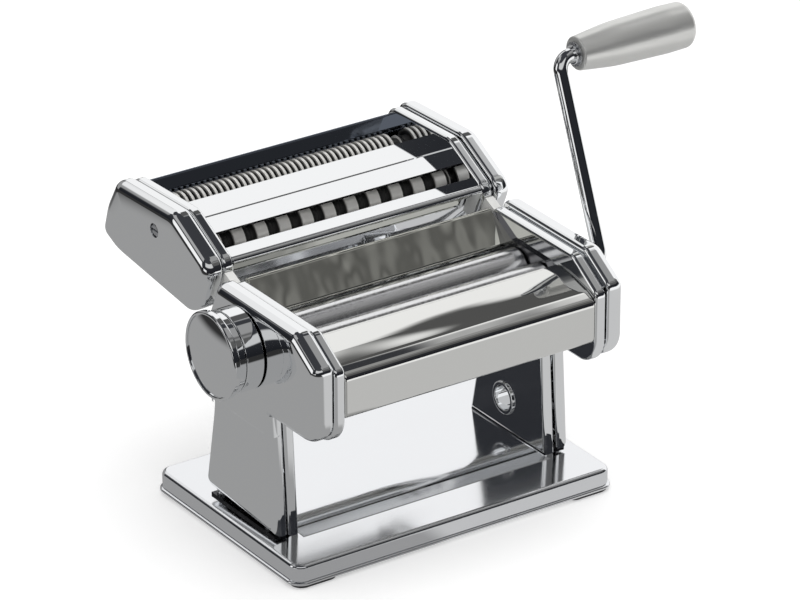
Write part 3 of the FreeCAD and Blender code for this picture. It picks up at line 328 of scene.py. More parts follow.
def ringed_skin(rings, closed=False, first_holes=None, last_holes=None):
    """Skin over rings of points in mm: joined round, or ended by flat faces with holes.

    Where both ends have the same holes, a wall runs through each hole.
    """
    count = len(rings[0])
    points = [point for ring in rings for point in ring]
    faces = []
    pairs = len(rings) if closed else len(rings) - 1
    for ring in range(pairs):
        low = ring * count
        high = (ring + 1) % len(rings) * count
        for step in range(count):
            after = (step + 1) % count
            faces.append((low + step, low + after, high + after, high + step))
    if closed:
        return points, faces
    for ring_start, holes in ((0, first_holes), ((len(rings) - 1) * count, last_holes)):
        loop = list(range(ring_start, ring_start + count))
        if not holes:
            faces.append(tuple(loop))
            continue
        loops = [loop]
        for hole in holes:
            loops.append(list(range(len(points), len(points) + len(hole))))
            points += hole
        every = [index for part in loops for index in part]
        filled = tessellate_polygon([[Vector(points[index]) for index in part] for part in loops])
        faces += [tuple(every[corner] for corner in triangle) for triangle in filled]
    if first_holes and last_holes:
        size = sum(len(hole) for hole in first_holes)
        start = len(points) - 2 * size
        for hole in first_holes:
            for step in range(len(hole)):
                after = (step + 1) % len(hole)
                faces.append((start + step, start + after, start + size + after,
                              start + size + step))
            start += len(hole)
    return points, faces


def make_piece(name, body, replaced, slot, material, *skins, sharp=32):
    """Object from one or more closed skins, smooth except along its sharp edges."""
    points = []
    faces = []
    for skin_points, skin_faces in skins:
        start = len(points)
        points += [(x / 1000, y / 1000, z / 1000) for x, y, z in skin_points]
        faces += [tuple(index + start for index in face) for face in skin_faces]
    mesh = bpy.data.meshes.new(name)
    mesh.from_pydata(points, [], faces)
    form = bmesh.new()
    form.from_mesh(mesh)
    bmesh.ops.remove_doubles(form, verts=form.verts, dist=1e-7)
    bmesh.ops.recalc_face_normals(form, faces=form.faces)
    form.to_mesh(mesh)
    form.free()
    mesh.shade_smooth()
    mesh.set_sharp_from_angle(angle=math.radians(sharp))
    mesh.materials.append(material)
    piece = bpy.data.objects.new(name, mesh)
    bpy.context.scene.collection.objects.link(piece)
    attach(piece, body)
    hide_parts(*replaced)
    return piece


def new_finish(name, colour, roughness, metallic=1.0):
    """Material with one principled shader; gives the material, its tree and the shader."""
    finish = bpy.data.materials.new(name)
    finish.use_nodes = True
    tree = finish.node_tree
    shader = tree.nodes["Principled BSDF"]
    shader.inputs["Base Color"].default_value = (*colour, 1)
    shader.inputs["Metallic"].default_value = metallic
    shader.inputs["Roughness"].default_value = roughness
    return finish, tree, shader


def value_group(name, inputs, outputs):
    """Empty node group with number sockets; gives the group and its two end nodes."""
    group = bpy.data.node_groups.new(name, "ShaderNodeTree")
    for way, sockets in (("INPUT", inputs), ("OUTPUT", outputs)):
        for socket in sockets:
            group.interface.new_socket(socket, in_out=way, socket_type="NodeSocketFloat")
    return group, add_node(group, "NodeGroupInput"), add_node(group, "NodeGroupOutput")


def wiping_marks():
    """Group: long faint wiping marks, as a roughness, and the waves of thin sheet, as a height."""
    group, entry, leave = value_group(
        "wiping_marks", ("Scale", "Along X", "Along Y", "Low", "High", "Swell"),
        ("Roughness", "Height"))
    stretch = add_node(group, "ShaderNodeCombineXYZ")
    group.links.new(entry.outputs["Along X"], stretch.inputs["X"])
    group.links.new(entry.outputs["Along Y"], stretch.inputs["Y"])
    stretch.inputs["Z"].default_value = 1.0
    place = add_node(group, "ShaderNodeVectorMath", operation="MULTIPLY")
    group.links.new(add_node(group, "ShaderNodeTexCoord").outputs["Object"], place.inputs[0])
    group.links.new(stretch.outputs[0], place.inputs[1])
    noise = add_node(group, "ShaderNodeTexNoise")
    noise.inputs["Detail"].default_value = 5
    noise.inputs["Distortion"].default_value = 0.6
    group.links.new(place.outputs[0], noise.inputs["Vector"])
    group.links.new(entry.outputs["Scale"], noise.inputs["Scale"])
    spread = add_node(group, "ShaderNodeMapRange")
    group.links.new(noise.outputs["Fac"], spread.inputs["Value"])
    spread.inputs["From Min"].default_value = 0.4
    spread.inputs["From Max"].default_value = 0.7
    group.links.new(entry.outputs["Low"], spread.inputs["To Min"])
    group.links.new(entry.outputs["High"], spread.inputs["To Max"])
    group.links.new(spread.outputs["Result"], leave.inputs["Roughness"])
    swell = add_node(group, "ShaderNodeTexNoise")
    swell.inputs["Detail"].default_value = 1.0
    group.links.new(place.outputs[0], swell.inputs["Vector"])
    group.links.new(entry.outputs["Swell"], swell.inputs["Scale"])
    group.links.new(swell.outputs["Fac"], leave.inputs["Height"])
    return group


def placed_group(tree, group, values):
    """Places a group in a material with values of its own; gives its outputs."""
    node = add_node(tree, "ShaderNodeGroup", node_tree=group)
    for name, value in values.items():
        node.inputs[name].default_value = value
    return node.outputs


def raise_surface(tree, shader, height, metres):
    """Bends a shader's light as if its surface rose by a height of so many metres."""
    bump = add_node(tree, "ShaderNodeBump")
    bump.inputs["Distance"].default_value = metres
    tree.links.new(height, bump.inputs["Height"])
    tree.links.new(bump.outputs["Normal"], shader.inputs["Normal"])
    return bump


marks = wiping_marks()


def wiped(tree, shader, scale, low, high, along_x=0.35, along_y=1.0, wave=0.0, swell=22.0):
    """Gives a shader its wiping marks and, where wave is above 0, a slightly wavy surface."""
    mark = placed_group(tree, marks, {"Scale": scale, "Along X": along_x, "Along Y": along_y,
                                      "Low": low, "High": high, "Swell": swell})
    tree.links.new(mark["Roughness"], shader.inputs["Roughness"])
    if wave > 0:
        raise_surface(tree, shader, mark["Height"], wave)


def dress(material, *names):
    """Gives CAD nodes their finish."""
    for name in names:
        mesh = nodes[name].data
        mesh.materials.clear()
        mesh.materials.append(material)


satin_steel, tree, shader = new_finish("satin_steel", (0.90, 0.91, 0.93), roughness=0.14)
wiped(tree, shader, scale=25.0, low=0.09, high=0.15)


def straight_between(tree, value, start, end):
    """Rises evenly from 0 to 1 as the value goes from start to end."""
    share = maths(tree, "SUBTRACT", value, start)
    return maths(tree, "DIVIDE", share, end - start, clamp=True)


# The pressed step falls towards the front between the legs, with a round shoulder, a sloping
# band and a short riser. Places are in metres, falls in millimetres.
step_back = -0.014
step_shoulder = -0.028
step_edge = -0.0365
step_foot = -0.0373
step_half = 0.0705
step_fade = 0.0012
shoulder_fall = 2.5
band_fall = 1.75
riser_fall = 0.8
millimetre = 0.001
step_place = split_place(tree, "ShaderNodeTexCoord", "Object")
depth = step_place["Y"]
shoulder = maths(tree, "SUBTRACT", 1.0, straight_between(tree, depth, step_shoulder, step_back))
shoulder = maths(tree, "MULTIPLY", maths(tree, "MULTIPLY", shoulder, shoulder), -shoulder_fall)
band = maths(tree, "MULTIPLY", straight_between(tree, depth, step_shoulder, step_edge), -band_fall)
riser = maths(tree, "MULTIPLY", straight_between(tree, depth, step_edge, step_foot), -riser_fall)
step_height = maths(tree, "ADD", maths(tree, "ADD", shoulder, band), riser)
step_bump = raise_surface(tree, shader, step_height, millimetre)
between_legs = window(tree, step_place["X"], -step_half, step_half, step_fade)
tree.links.new(between_legs, step_bump.inputs["Strength"])

base_half_x = 91.5
base_half_y = 61.4
base_corner = 6.6
base_low = 2.0
base_top = 12.2
base_round = 2.1
base_sheet = 1.2
base_inner_top = base_top - base_sheet
base_inner_round = base_round - base_sheet
hem_reach = 1.2
hem_bend = 0.4
hem_edge = 0.3
hem_start = base_low + 2.25
hem_middle = base_low + hem_reach
base_outline = rounded_outline([(x * base_half_x, y * base_half_y, base_corner) for x, y in square])
base_profile = ([(base_round + beside, base_top)]
                + quarter((base_round, base_top), (0, base_top - base_round), (0, base_top))
                + [(0, base_top - base_round - beside), (0, hem_start + beside), (0, hem_start)]
                + quarter((0, hem_middle + hem_bend), (-hem_reach, hem_middle - hem_bend),
                          (-hem_reach, hem_middle + hem_bend), steps=4)
                + [(-hem_reach, base_low + hem_edge), (-hem_reach + hem_edge, base_low),
                   (base_sheet, base_low), (base_sheet, base_inner_top - base_inner_round),
                   (base_round, base_inner_top), (base_round + 2 * beside, base_inner_top)])
base_rings = [[(x, y, z) for x, y in drawn_in(base_outline, inward)] for inward, z in base_profile]
make_piece("base_tray", "machine_body", ["base_plate"], "polished_steel", satin_steel,
           ringed_skin(base_rings))


# Feet and foot screws
# Four moulded rubber pads are pushed into the tray's corners. Screws with domed heads hold the
# legs' flanges down on the tray.

foot_rubber, tree, shader = new_finish("foot_rubber", (0.02, 0.02, 0.022), roughness=0.6, metallic=0.0)
grain = add_node(tree, "ShaderNodeTexNoise")
grain.inputs["Scale"].default_value = 900.0
tree.links.new(add_node(tree, "ShaderNodeTexCoord").outputs["Object"], grain.inputs["Vector"])
raise_surface(tree, shader, grain.outputs["Fac"], 0.0001)

# The pads stop just short of the table top, so that the two faces never lie in one plane
pad_low = 0.02
pad_edge = 0.5
pad_in_x = 67.5
pad_out_x = 90.6
pad_in_y = 46.0
pad_out_y = 61.2
pad_round = 4.0
pad_outer_round = 5.6
pad_profile = ((pad_edge, pad_low), (0, pad_low + pad_edge), (0, base_low))
pad_skins = []
for side, end in square:
    pad_outline = rounded_outline([(side * pad_in_x, end * pad_in_y, pad_round),
                                   (side * pad_out_x, end * pad_in_y, pad_round),
                                   (side * pad_out_x, end * pad_out_y, pad_outer_round),
                                   (side * pad_in_x, end * pad_out_y, pad_round)])
    pad_skins.append(ringed_skin([[(x, y, z) for x, y in drawn_in(pad_outline, inward)]
                                  for inward, z in pad_profile]))
make_piece("foot_pads", "machine_body", ["rubber_feet"], "rubber", foot_rubber, *pad_skins)

plain_steel, tree, shader = new_finish("plain_steel", (0.58, 0.59, 0.61), roughness=0.3)
wiped(tree, shader, scale=200.0, low=0.22, high=0.36)
dress(plain_steel, "foot_screws")


# Side frames
# Each side of the machine stands on a chromed plate whose edge is turned outward as a rim and
# rolled over slightly. A flange at its foot is screwed to the tray. The flange and the plate's
# lowest edge are painted near-black as the shade under the leg's cover.

chrome_colour = (0.93, 0.94, 0.95)
chromed_sheet, tree, shader = new_finish("chromed_sheet", chrome_colour, roughness=0.04)
wiped(tree, shader, scale=60.0, low=0.015, high=0.045)
# Painted shade: near-black steel for the faces under the leg's cover
painted_shade_steel, tree, shader = new_finish("painted_shade_steel", (0.06, 0.06, 0.065), roughness=0.25)
wiped(tree, shader, scale=90.0, low=0.2, high=0.35)

slope_top = (12.5, 130.0)
slope_run = 9.8
slope_rise = 22.5
slope_length = math.hypot(slope_run, slope_rise)
up_slope = (-slope_run / slope_length, slope_rise / slope_length)


def slope_corner(along, away, radius):
    """Corner placed by going up the rear slope from its top and square off it."""
    return (slope_top[0] + up_slope[0] * along + up_slope[1] * away,
            slope_top[1] + up_slope[1] * along - up_slope[0] * away, radius)


plate_x = 71.1
rim_x = 77.0
rim_bend = 1.6
lip_bend = 0.2
lip_depth = 0.6
sheet = 1.2


def circle(x, centre, radius, count=48):
    """Ring of points about an axis along X."""
    return [(x, centre[0] + radius * math.cos(2 * math.pi * step / count),
             centre[1] + radius * math.sin(2 * math.pi * step / count)) for step in range(count)]


def at_side(skin, side):
    """Keeps a right-hand skin or mirrors it to the left."""
    points, faces = skin
    return [(x * side, y, z) for x, y, z in points], faces


def rimmed_plate(corners, holes):
    """Skin of a right-hand plate with an outward rim, and round holes (y, z, radius)."""
    outline = rounded_outline(corners)
    profile = ([(rim_bend + beside, plate_x)]
               + quarter((rim_bend, plate_x), (0, plate_x + rim_bend), (0, plate_x))
               + [(0, plate_x + rim_bend + beside), (0, rim_x - rim_bend - beside)]
               + quarter((0, rim_x - rim_bend), (rim_bend, rim_x), (0, rim_x))
               + [(rim_bend + lip_bend, rim_x - lip_bend), (rim_bend + lip_bend, rim_x - lip_depth),
                  (sheet, rim_x - rim_bend), (sheet, plate_x + rim_bend),
                  (rim_bend + beside, plate_x + sheet)])
    rings = [[(x, y, z) for y, z in drawn_in(outline, inward)] for inward, x in profile]
    return ringed_skin(rings,
                       first_holes=[circle(plate_x, (y, z), r) for y, z, r in holes],
                       last_holes=[circle(plate_x + sheet, (y, z), r) for y, z, r in holes])


def box_skin(low, high):
    corners = [(low[0], low[1]), (high[0], low[1]), (high[0], high[1]), (low[0], high[1])]
    return ringed_skin([[(x, y, z) for x, y in corners] for z in (low[2], high[2])])


frame_inset = 2.1
frame_corners = [slope_corner(-1.7, -frame_inset, 2.0), (-53.2, 127.6, 8.0), (-73.2, 114.9, 5.0),
                 (-73.2, 75.5, 14.0), (-28.7, 75.5, 2.0), (-33.0, base_top, 0),
                 (30.4, base_top, 0), (19.2, 64.0, 60.0), slope_corner(-24.2, -frame_inset, 7.0)]
roller_z = 106.0
front_y = -32.4
knob_y = -10.65
tie_hole = 2.5
tie_holes = [(y, z, tie_hole) for y, z in ((-62.0, 97.0), (-47.5, 92.6), (11.0, 96.0))]
socket_hole = 8.5
knob_hole = 8.5
neck_hole = 8.25
eyelet_hole = (1.6, 29.3, 7.3)
flange_in_x = plate_x + 0.6
flange_out_x = 84.0
flange_front = -31.0
flange_rear = 24.0
shade_in_x = plate_x + 0.3
shade_top = base_top + 1.5
for side, name, rear_hole, more in ((-1, "left", knob_hole, []),
                                    (1, "right", neck_hole, [eyelet_hole])):
    holes = tie_holes + [(front_y, roller_z, socket_hole), (knob_y, roller_z, rear_hole)] + more
    plate = rimmed_plate(frame_corners, holes)
    flange = box_skin((flange_in_x, flange_front, base_top),
                      (flange_out_x, flange_rear, base_top + sheet))
    frame_plate = make_piece("frame_plate_" + name, "machine_body", ["side_frame_" + name],
                             "polished_steel", chromed_sheet, at_side(plate, side),
                             at_side(flange, side))
    frame_plate.data.materials.append(painted_shade_steel)
    # Faces low down and outside the plate's inner face take the painted shade
    for face in frame_plate.data.polygons:
        corners = [frame_plate.data.vertices[corner].co * 1000 for corner in face.vertices]
        if all(abs(corner.x) > shade_in_x and corner.z < shade_top for corner in corners):
            face.material_index = 1


# Side covers
# Deep drawn chromed shells with crowned faces close both sides. The body of a shell stands proud
# of its leg, and its edge is bent in towards the frame's rim, which leaves a narrow dark seam.

cover_in_x = 78.0
cover_x = 87.6
leg_cover_x = 85.8
cover_round = 5.0
cover_wall_low = cover_in_x + rim_bend
cover_bend_in = cover_in_x + 1.8
lip_reach = rim_x - 1.2
lip_return = cover_in_x + 1.0
lip_sheet = 0.6
step_z = 65.0
body_low = 77.4
leg_low = 13.8
leg_foot = (-33.4, 16.5)
leg_lean = 0.068


def leg_front(z):
    return leg_foot[0] + leg_lean * (z - leg_foot[1])


cover_corners = [slope_corner(0, 0, 5.6), (-54.0, 130.0, 9.0), (-73.5, 117.8, 5.6),
                 (-73.5, body_low, 13.0), (leg_front(body_low), body_low, 2.0),
                 (leg_front(leg_low), leg_low, 0), (28.5, leg_foot[1], 5.6), (20.0, 64.0, 60.0),
                 slope_corner(-slope_length, 0, 9.0)]


def cut_off(outline, level, keep_above):
    """Part of an outline on one side of a level, closed along that level."""
    kept = []
    sign = 1 if keep_above else -1
    for index, here in enumerate(outline):
        after = outline[(index + 1) % len(outline)]
        inside = (here[1] - level) * sign >= 0
        if inside:
            kept.append(here)
        if inside != ((after[1] - level) * sign >= 0):
            share = (level - here[1]) / (after[1] - here[1])
            kept.append((here[0] + (after[0] - here[0]) * share, level, here[2], -float(sign)))
    return kept


def deep_cover(outline, face_x, neck, holes):
    """Skin of a right-hand cover: rounded face, wall and bent-in edge.

    Where neck is above 0, a lip at that distance from the wall reaches in under the rim.
    """
    edge = []
    if neck > 0:
        edge = [(neck, cover_in_x), (neck, lip_reach), (neck + lip_sheet, lip_reach),
                (neck + lip_sheet, lip_return)]
    profile = ([(cover_round + beside, face_x)]
               + quarter((cover_round, face_x), (0, face_x - cover_round), (0, face_x), steps=12)
               + [(0, face_x - cover_round - beside), (0, cover_wall_low + beside)]
               + quarter((0, cover_wall_low), (rim_bend, cover_in_x), (0, cover_in_x))
               + [(rim_bend + beside, cover_in_x)] + edge + [(sheet, cover_bend_in)]
               + quarter((sheet, face_x - cover_round), (cover_round, face_x - sheet),
                         (sheet, face_x - sheet), steps=6)
               + [(cover_round + beside, face_x - sheet)])
    rings = [[(x, y, z) for y, z in drawn_in(outline, inward)] for inward, x in profile]
    return ringed_skin(rings,
                       first_holes=[circle(face_x, (y, z), r) for y, z, r in holes],
                       last_holes=[circle(face_x - sheet, (y, z), r) for y, z, r in holes])


def crowned_face(name, corners, reach, fall):
    """Chrome whose surface falls away slightly towards the straight edges between corners (y, z)."""
    finish, tree, shader = new_finish(name, chrome_colour, roughness=0.04)
    wiped(tree, shader, scale=60.0, low=0.015, high=0.045)
    place = split_place(tree, "ShaderNodeTexCoord", "Object")
    nearest = reach
    for here, ahead in zip(corners, corners[1:]):
        along = unit(here, ahead)
        from_y = maths(tree, "MULTIPLY", maths(tree, "SUBTRACT", place["Y"], here[0] / 1000),
                       -along[1] * 1000)
        from_z = maths(tree, "MULTIPLY", maths(tree, "SUBTRACT", place["Z"], here[1] / 1000),
                       along[0] * 1000)
        nearest = maths(tree, "MINIMUM", maths(tree, "ADD", from_y, from_z), nearest)
    edge_share = maths(tree, "SUBTRACT", 1.0, maths(tree, "DIVIDE", nearest, reach, clamp=True))
    lowered = maths(tree, "MULTIPLY", maths(tree, "MULTIPLY", edge_share, edge_share), -1.0)
    raise_surface(tree, shader, lowered, fall / 1000)
    return finish


cover_chrome = crowned_face("cover_chrome", cover_corners[:4], reach=13.0, fall=0.85)

# The leg's shell goes on upward inside the body's, out of sight
leg_top = step_z + 0.4
hidden_top = step_z + 12.0
hidden_inset = 0.5
whole_outline = rounded_outline(cover_corners)
body_outline = cut_off(whole_outline, step_z, True)
leg_outline = cut_off(whole_outline, leg_top, False)
for end in [point for point in leg_outline if math.isclose(point[1], leg_top)]:
    place = leg_outline.index(end)
    hidden = (end[0] - math.copysign(hidden_inset, end[2]), hidden_top, end[2], 1.0)
    side_only = (end[0], end[1], end[2], 0.0)
    leg_outline[place:place + 1] = [side_only, hidden] if end[0] > 0 else [hidden, side_only]

body_neck = 4.3
for side, name, holes, leg_holes in ((-1, "left", [(knob_y, roller_z, knob_hole)], []),
                                     (1, "right", [(front_y, roller_z, socket_hole)],
                                      [eyelet_hole])):
    upper = deep_cover(body_outline, cover_x, body_neck, holes)
    leg = deep_cover(leg_outline, leg_cover_x, 0, leg_holes)
    make_piece("cover_" + name, "machine_body", ["side_cover_" + name], "polished_steel",
               cover_chrome, at_side(upper, side), at_side(leg, side))


# Front housing
# A deep drawn pan across the front, where the dough sheet comes down over the front roller. Its
# sloping top is polished like a mirror and shows the drawing of the sheet as slight waves.

housing_chrome, tree, shader = new_finish("housing_chrome", (0.84, 0.84, 0.82), roughness=0.03)
wiped(tree, shader, scale=40.0, low=0.02, high=0.05, along_x=0.25, wave=0.0020, swell=36.0)

housing_half = 70.9
housing_end_round = 1.0
housing_corners = [(-39.4, 118.7, 2.4), (-49.8, 118.5, 72.0), (-66.6, 114.4, 10.0),
                   (-72.8, 111.2, 5.2), (-72.8, 88.2, 4.5), (-56.0, 88.2, 2.0),
                   (-56.0, 98.0, 4.0), (-41.6, 112.0, 3.0)]
housing_outline = rounded_outline(housing_corners, step=4.0)
end_profile = ([(housing_end_round + beside, housing_half)]
               + quarter((housing_end_round, housing_half), (0, housing_half - housing_end_round),
                         (0, housing_half), steps=6)
               + [(0, housing_half - housing_end_round - beside)])
end_profile += [(inward, -x) for inward, x in end_profile[::-1]]
housing_rings = [[(x, y, z) for y, z in drawn_in(housing_outline, inward)]
                 for inward, x in end_profile]
make_piece("front_pan", "machine_body", ["front_housing"], "polished_steel", housing_chrome,
           ringed_skin(housing_rings))


# Sheets behind the rollers
# The hopper sheet rises behind the rear roller and is folded over at its top edge; the dough is
# fed over it. A plain folded sheet closes the back of the machine below it.

least_bend = 0.05


def moved_left(path, thickness):
    """Path of a bent sheet's other face."""
    moved = []
    for index, here in enumerate(path):
        a = unit(path[index - 1], here) if index else unit(here, path[1])
        b = unit(here, path[index + 1]) if index + 1 < len(path) else a
        share = thickness / (1 + a[0] * b[0] + a[1] * b[1])
        left_turn = (a[0] * b[1] - a[1] * b[0]) * thickness > 0
        radius = here[2] - abs(thickness) if left_turn else here[2] + abs(thickness)
        moved.append((here[0] - (a[1] + b[1]) * share, here[1] + (a[0] + b[0]) * share,
                      max(radius, least_bend) if here[2] else 0))
    return moved


def bent_sheet(path, thickness, half_x):
    """Skin of a sheet bent along X from a path of (y, z, radius)."""
    outline = rounded_outline(path + moved_left(path, thickness)[::-1], step=4.0)
    ring = drawn_in(outline, 0)
    return ringed_skin([[(x, y, z) for y, z in ring] for x in (-half_x, half_x)])


hopper_chrome, tree, shader = new_finish("hopper_chrome", (0.72, 0.72, 0.66), roughness=0.03)
wiped(tree, shader, scale=30.0, low=0.04, high=0.09, along_x=1.3, along_y=0.5, wave=0.0011, swell=44.0)

thin_sheet = 1.0
hopper_half = 69.4
hopper_path = [(18.6, 109.6, 0), (13.4, 129.4, 2.0), (-1.6, 113.9, 1.4), (-0.4, 112.0, 0)]
make_piece("hopper_sheet", "machine_body", ["hopper_plate"], "polished_steel", hopper_chrome,
           bent_sheet(hopper_path, thin_sheet, hopper_half))
rear_path = [(6.0, 94.0, 0), (6.0, 86.0, 2.0), (17.8, 86.0, 3.0), (19.0, 107.6, 0)]
make_piece("rear_sheet", "machine_body", ["rear_housing"], "polished_steel", chromed_sheet,
           bent_sheet(rear_path, thin_sheet, plate_x))


# Guards, scrapers and hidden steel
# Plain guards stand at the roller ends, and plastic blades clean the rollers from below. Tie rods
# with nuts hold the side plates together behind the covers.

# Painted shade: the guards' steel is made dark, as the shade inside the frame at the roller ends
painted_shade_guard, tree, shader = new_finish("painted_shade_guard", (0.26, 0.26, 0.27), roughness=0.18)
wiped(tree, shader, scale=80.0, low=0.14, high=0.24)
dress(painted_shade_guard, "side_guards")

white_plastic, tree, shader = new_finish("white_plastic", (0.78, 0.78, 0.76), roughness=0.45,
                                         metallic=0.0)
wiped(tree, shader, scale=300.0, low=0.38, high=0.5)
dress(white_plastic, "front_bushes", "adjuster_bush", "roller_bushes", "cutter_bushes",
      "cutter_combs", "front_scraper", "rear_scraper", "guide_channels")

dress(plain_steel, "tie_rods", "tie_rod_nuts", "bridge_posts", "gear_bridge", "guide_rails")

gear_steel, tree, shader = new_finish("gear_steel", (0.46, 0.46, 0.47), roughness=0.32)
wiped(tree, shader, scale=400.0, low=0.25, high=0.42)
dress(gear_steel, "front_gear", "rear_gear", "wide_front_gear", "wide_rear_gear",
      "fine_front_gear", "fine_rear_gear")

dress(chromed_sheet, "clamp_eyelet")


# Smooth rollers
# Two aluminium rollers, ground smooth, flatten the dough. Fine grinding lines run round them.

roller_metal, tree, shader = new_finish("roller_metal", (0.84, 0.84, 0.85), roughness=0.2)
wiped(tree, shader, scale=90.0, low=0.16, high=0.26, along_x=9.0, along_y=0.4)
dress(roller_metal, "front_roller", "rear_roller")


# Thickness knob
# A turned and chromed knob with a broad rim and a domed face disc pressed into it. It sits on an
# offset shaft, and a pin on its back drops into the ring that is screwed to the left cover.

knob_chrome, tree, shader = new_finish("knob_chrome", chrome_colour, roughness=0.03)
wiped(tree, shader, scale=120.0, low=0.015, high=0.04)

knob_face = -107.0
knob_rim_front = knob_face + 1.4
knob_rim_back = -101.8
knob_back = -97.8
knob_floor = knob_face + 2.8
knob_rim = 21.8
knob_rim_inside = knob_rim - 1.5
knob_body = 20.0
knob_bore = 5.05


def turned_skin(corners, centre, step=6.0, count=96):
    """Skin of a form turned about an axis along X, from closed (x, r, radius) corners."""
    half = [(x, max(r, 0.0)) for x, r, _, _ in rounded_outline(corners, step=step)]
    rings = []
    for x, r in half:
        rings.append([(x, centre[0] + r * math.cos(2 * math.pi * turn / count),
                       centre[1] + r * math.sin(2 * math.pi * turn / count))
                      for turn in range(count)])
    return ringed_skin(rings, closed=True)


knob_axis = (knob_y, roller_z)
knob_corners = [(knob_back, knob_bore, 0), (knob_back, knob_body, 0.4),
                (knob_rim_back, knob_body, 0.5), (knob_rim_back, knob_rim, 0.9),
                (knob_rim_front, knob_rim, 1.0), (knob_rim_front, knob_rim_inside, 0.2),
                (knob_floor, knob_rim_inside, 0), (knob_floor, knob_bore, 0)]
make_piece("knob_body_turned", "knob", ["knob_body"], "knob_chrome", knob_chrome,
           turned_skin(knob_corners, knob_axis))
cap_edge = knob_rim - 1.6
dome_radius = 92.0
dome_steps = 16
cap_corners = [(knob_floor, 0, 0), (knob_floor, cap_edge, 0)]
for number in range(dome_steps, -1, -1):
    out = cap_edge * number / dome_steps
    cap_corners.append((knob_face + out * out / (2 * dome_radius), out, 0))
make_piece("knob_face_disc", "knob", ["knob_cap"], "knob_chrome", knob_chrome,
           turned_skin(cap_corners, knob_axis))

# A narrower seat holds the ring off the cover and leaves a thin dark gap all round
ring_back = -cover_x
ring_front = -97.6
ring_radius = 20.5
ring_seat = 17.5
ring_gap = 0.8
ring_bore = 5.4
ring_corners = [(ring_back, ring_bore, 0), (ring_back, ring_seat, 0),
                (ring_back - ring_gap, ring_seat, 0), (ring_back - ring_gap, ring_radius, 0.25),
                (ring_front, ring_radius, 0.5), (ring_front, ring_bore, 0)]
make_piece("index_ring_turned", "machine_body", ["index_ring"], "knob_chrome", knob_chrome,
           turned_skin(ring_corners, knob_axis))
dress(plain_steel, "index_screws", "adjuster_shaft", "detent_pin")


# Crank
# A chromed rod bent twice, pushed into the front roller's socket, where a cross pin drives it.
# Its satin grip turns freely on the rod's end.

rod_chrome, tree, shader = new_finish("rod_chrome", chrome_colour, roughness=0.03)
wiped(tree, shader, scale=150.0, low=0.02, high=0.05)

rod_radius = 3.5
rod_bend = 7.0
rod_sides = 48
bend_steps = 14
beside_bend = 0.1
blunt_edge = 0.6
socket_end = 62.5
crank_x = 104.0
rod_end = 172.2
grip_axis = (5.8, 200.0)
rod_corners = [Vector((socket_end, front_y, roller_z)), Vector((crank_x, front_y, roller_z)),
               Vector((crank_x, *grip_axis)), Vector((rod_end, *grip_axis))]
outward = Vector((1, 0, 0))
square_to_bends = outward.cross(rod_corners[2] - rod_corners[1]).normalized()
line = [(rod_corners[0] + outward * blunt_edge, outward)]
for place in (1, 2):
    here = rod_corners[place]
    arriving = (here - rod_corners[place - 1]).normalized()
    leaving = (rod_corners[place + 1] - here).normalized()
    bend_angle = arriving.angle(leaving)
    bend_reach = rod_bend * math.tan(bend_angle / 2)
    inward = (leaving - arriving * arriving.dot(leaving)).normalized()
    centre = here - arriving * bend_reach + inward * rod_bend
    line.append((here - arriving * (bend_reach + beside_bend), arriving))
    for number in range(bend_steps + 1):
        angle = bend_angle * number / bend_steps
        line.append((centre - inward * rod_bend * math.cos(angle) + arriving * rod_bend * math.sin(angle),
                     arriving * math.cos(angle) + inward * math.sin(angle)))
    line.append((here + leaving * (bend_reach + beside_bend), leaving))
line.append((rod_corners[3], outward))


def rod_ring(place, heading, radius):
    across = heading.cross(square_to_bends)
    return [tuple(place + (square_to_bends * math.cos(2 * math.pi * turn / rod_sides)
                           + across * math.sin(2 * math.pi * turn / rod_sides)) * radius)
            for turn in range(rod_sides)]


rod_rings = [rod_ring(rod_corners[0], outward, rod_radius - blunt_edge)]
rod_rings += [rod_ring(place, heading, rod_radius) for place, heading in line]
stop_start = 111.9
stop_end = 113.3
stop_radius = 4.9
stop_inside = 3.2
stop_corners = [(stop_start, stop_inside, 0), (stop_start, stop_radius, 0.3),
                (stop_end, stop_radius, 0.3), (stop_end, stop_inside, 0)]
make_piece("crank_arm", "crank", ["crank_rod"], "crank_chrome", rod_chrome,
           ringed_skin(rod_rings), turned_skin(stop_corners, grip_axis, count=48))
dress(plain_steel, "drive_pin", "grip_washer")

collar_end = 89.6
collar_radius = 10.5
collar_bore = 7.0
collar_corners = [(leg_cover_x, collar_bore, 0), (leg_cover_x, socket_hole, 0),
                  (cover_x, socket_hole, 0), (cover_x, collar_radius, 0),
                  (collar_end, collar_radius, 1.0), (collar_end, collar_bore, 0.4)]
make_piece("crank_collar_ring", "machine_body", ["crank_collar"], "polished_steel",
           chromed_sheet, turned_skin(collar_corners, (front_y, roller_z)))

grip_satin, tree, shader = new_finish("grip_satin", (0.74, 0.74, 0.72), roughness=0.36, metallic=0.74)
wiped(tree, shader, scale=260.0, low=0.30, high=0.42, along_x=0.15)
grip_start = 114.5
grip_end = 179.6
grip_inside_end = 173.2
washer_depth = grip_start + 2.6
washer_bore = 5.1
grip_bore = 3.55
grip_corners = [(grip_start, washer_bore, 0.3), (grip_start, 8.4, 0.9), (134.0, 10.8, 90.0),
                (166.0, 11.8, 60.0), (grip_end, 11.4, 3.4), (grip_end, 0, 0),
                (grip_inside_end, 0, 0), (grip_inside_end, grip_bore, 0),
                (washer_depth, grip_bore, 0), (washer_depth, washer_bore, 0)]
make_piece("crank_handle", "grip", ["crank_grip"], "grip", grip_satin,
           turned_skin(grip_corners, grip_axis, step=3.0))


# Cutter unit sides
# The lift-off cutter unit has its own two frame plates and drawn covers, made like those of the
# machine. One slotted screw in a dimple holds each cover.

unit_gap = 5.8
unit_inset = 1.2
unit_corners = [slope_corner(1.6, unit_gap, 9.0), (50.0, 151.0, 16.0), (101.6, 149.0, 8.0),
                (111.0, 133.0, 24.0), (115.9, 116.8, 6.0), (102.0, 111.0, 30.0),
                (37.5, 104.0, 8.0), slope_corner(-24.1, unit_gap, 5.6)]


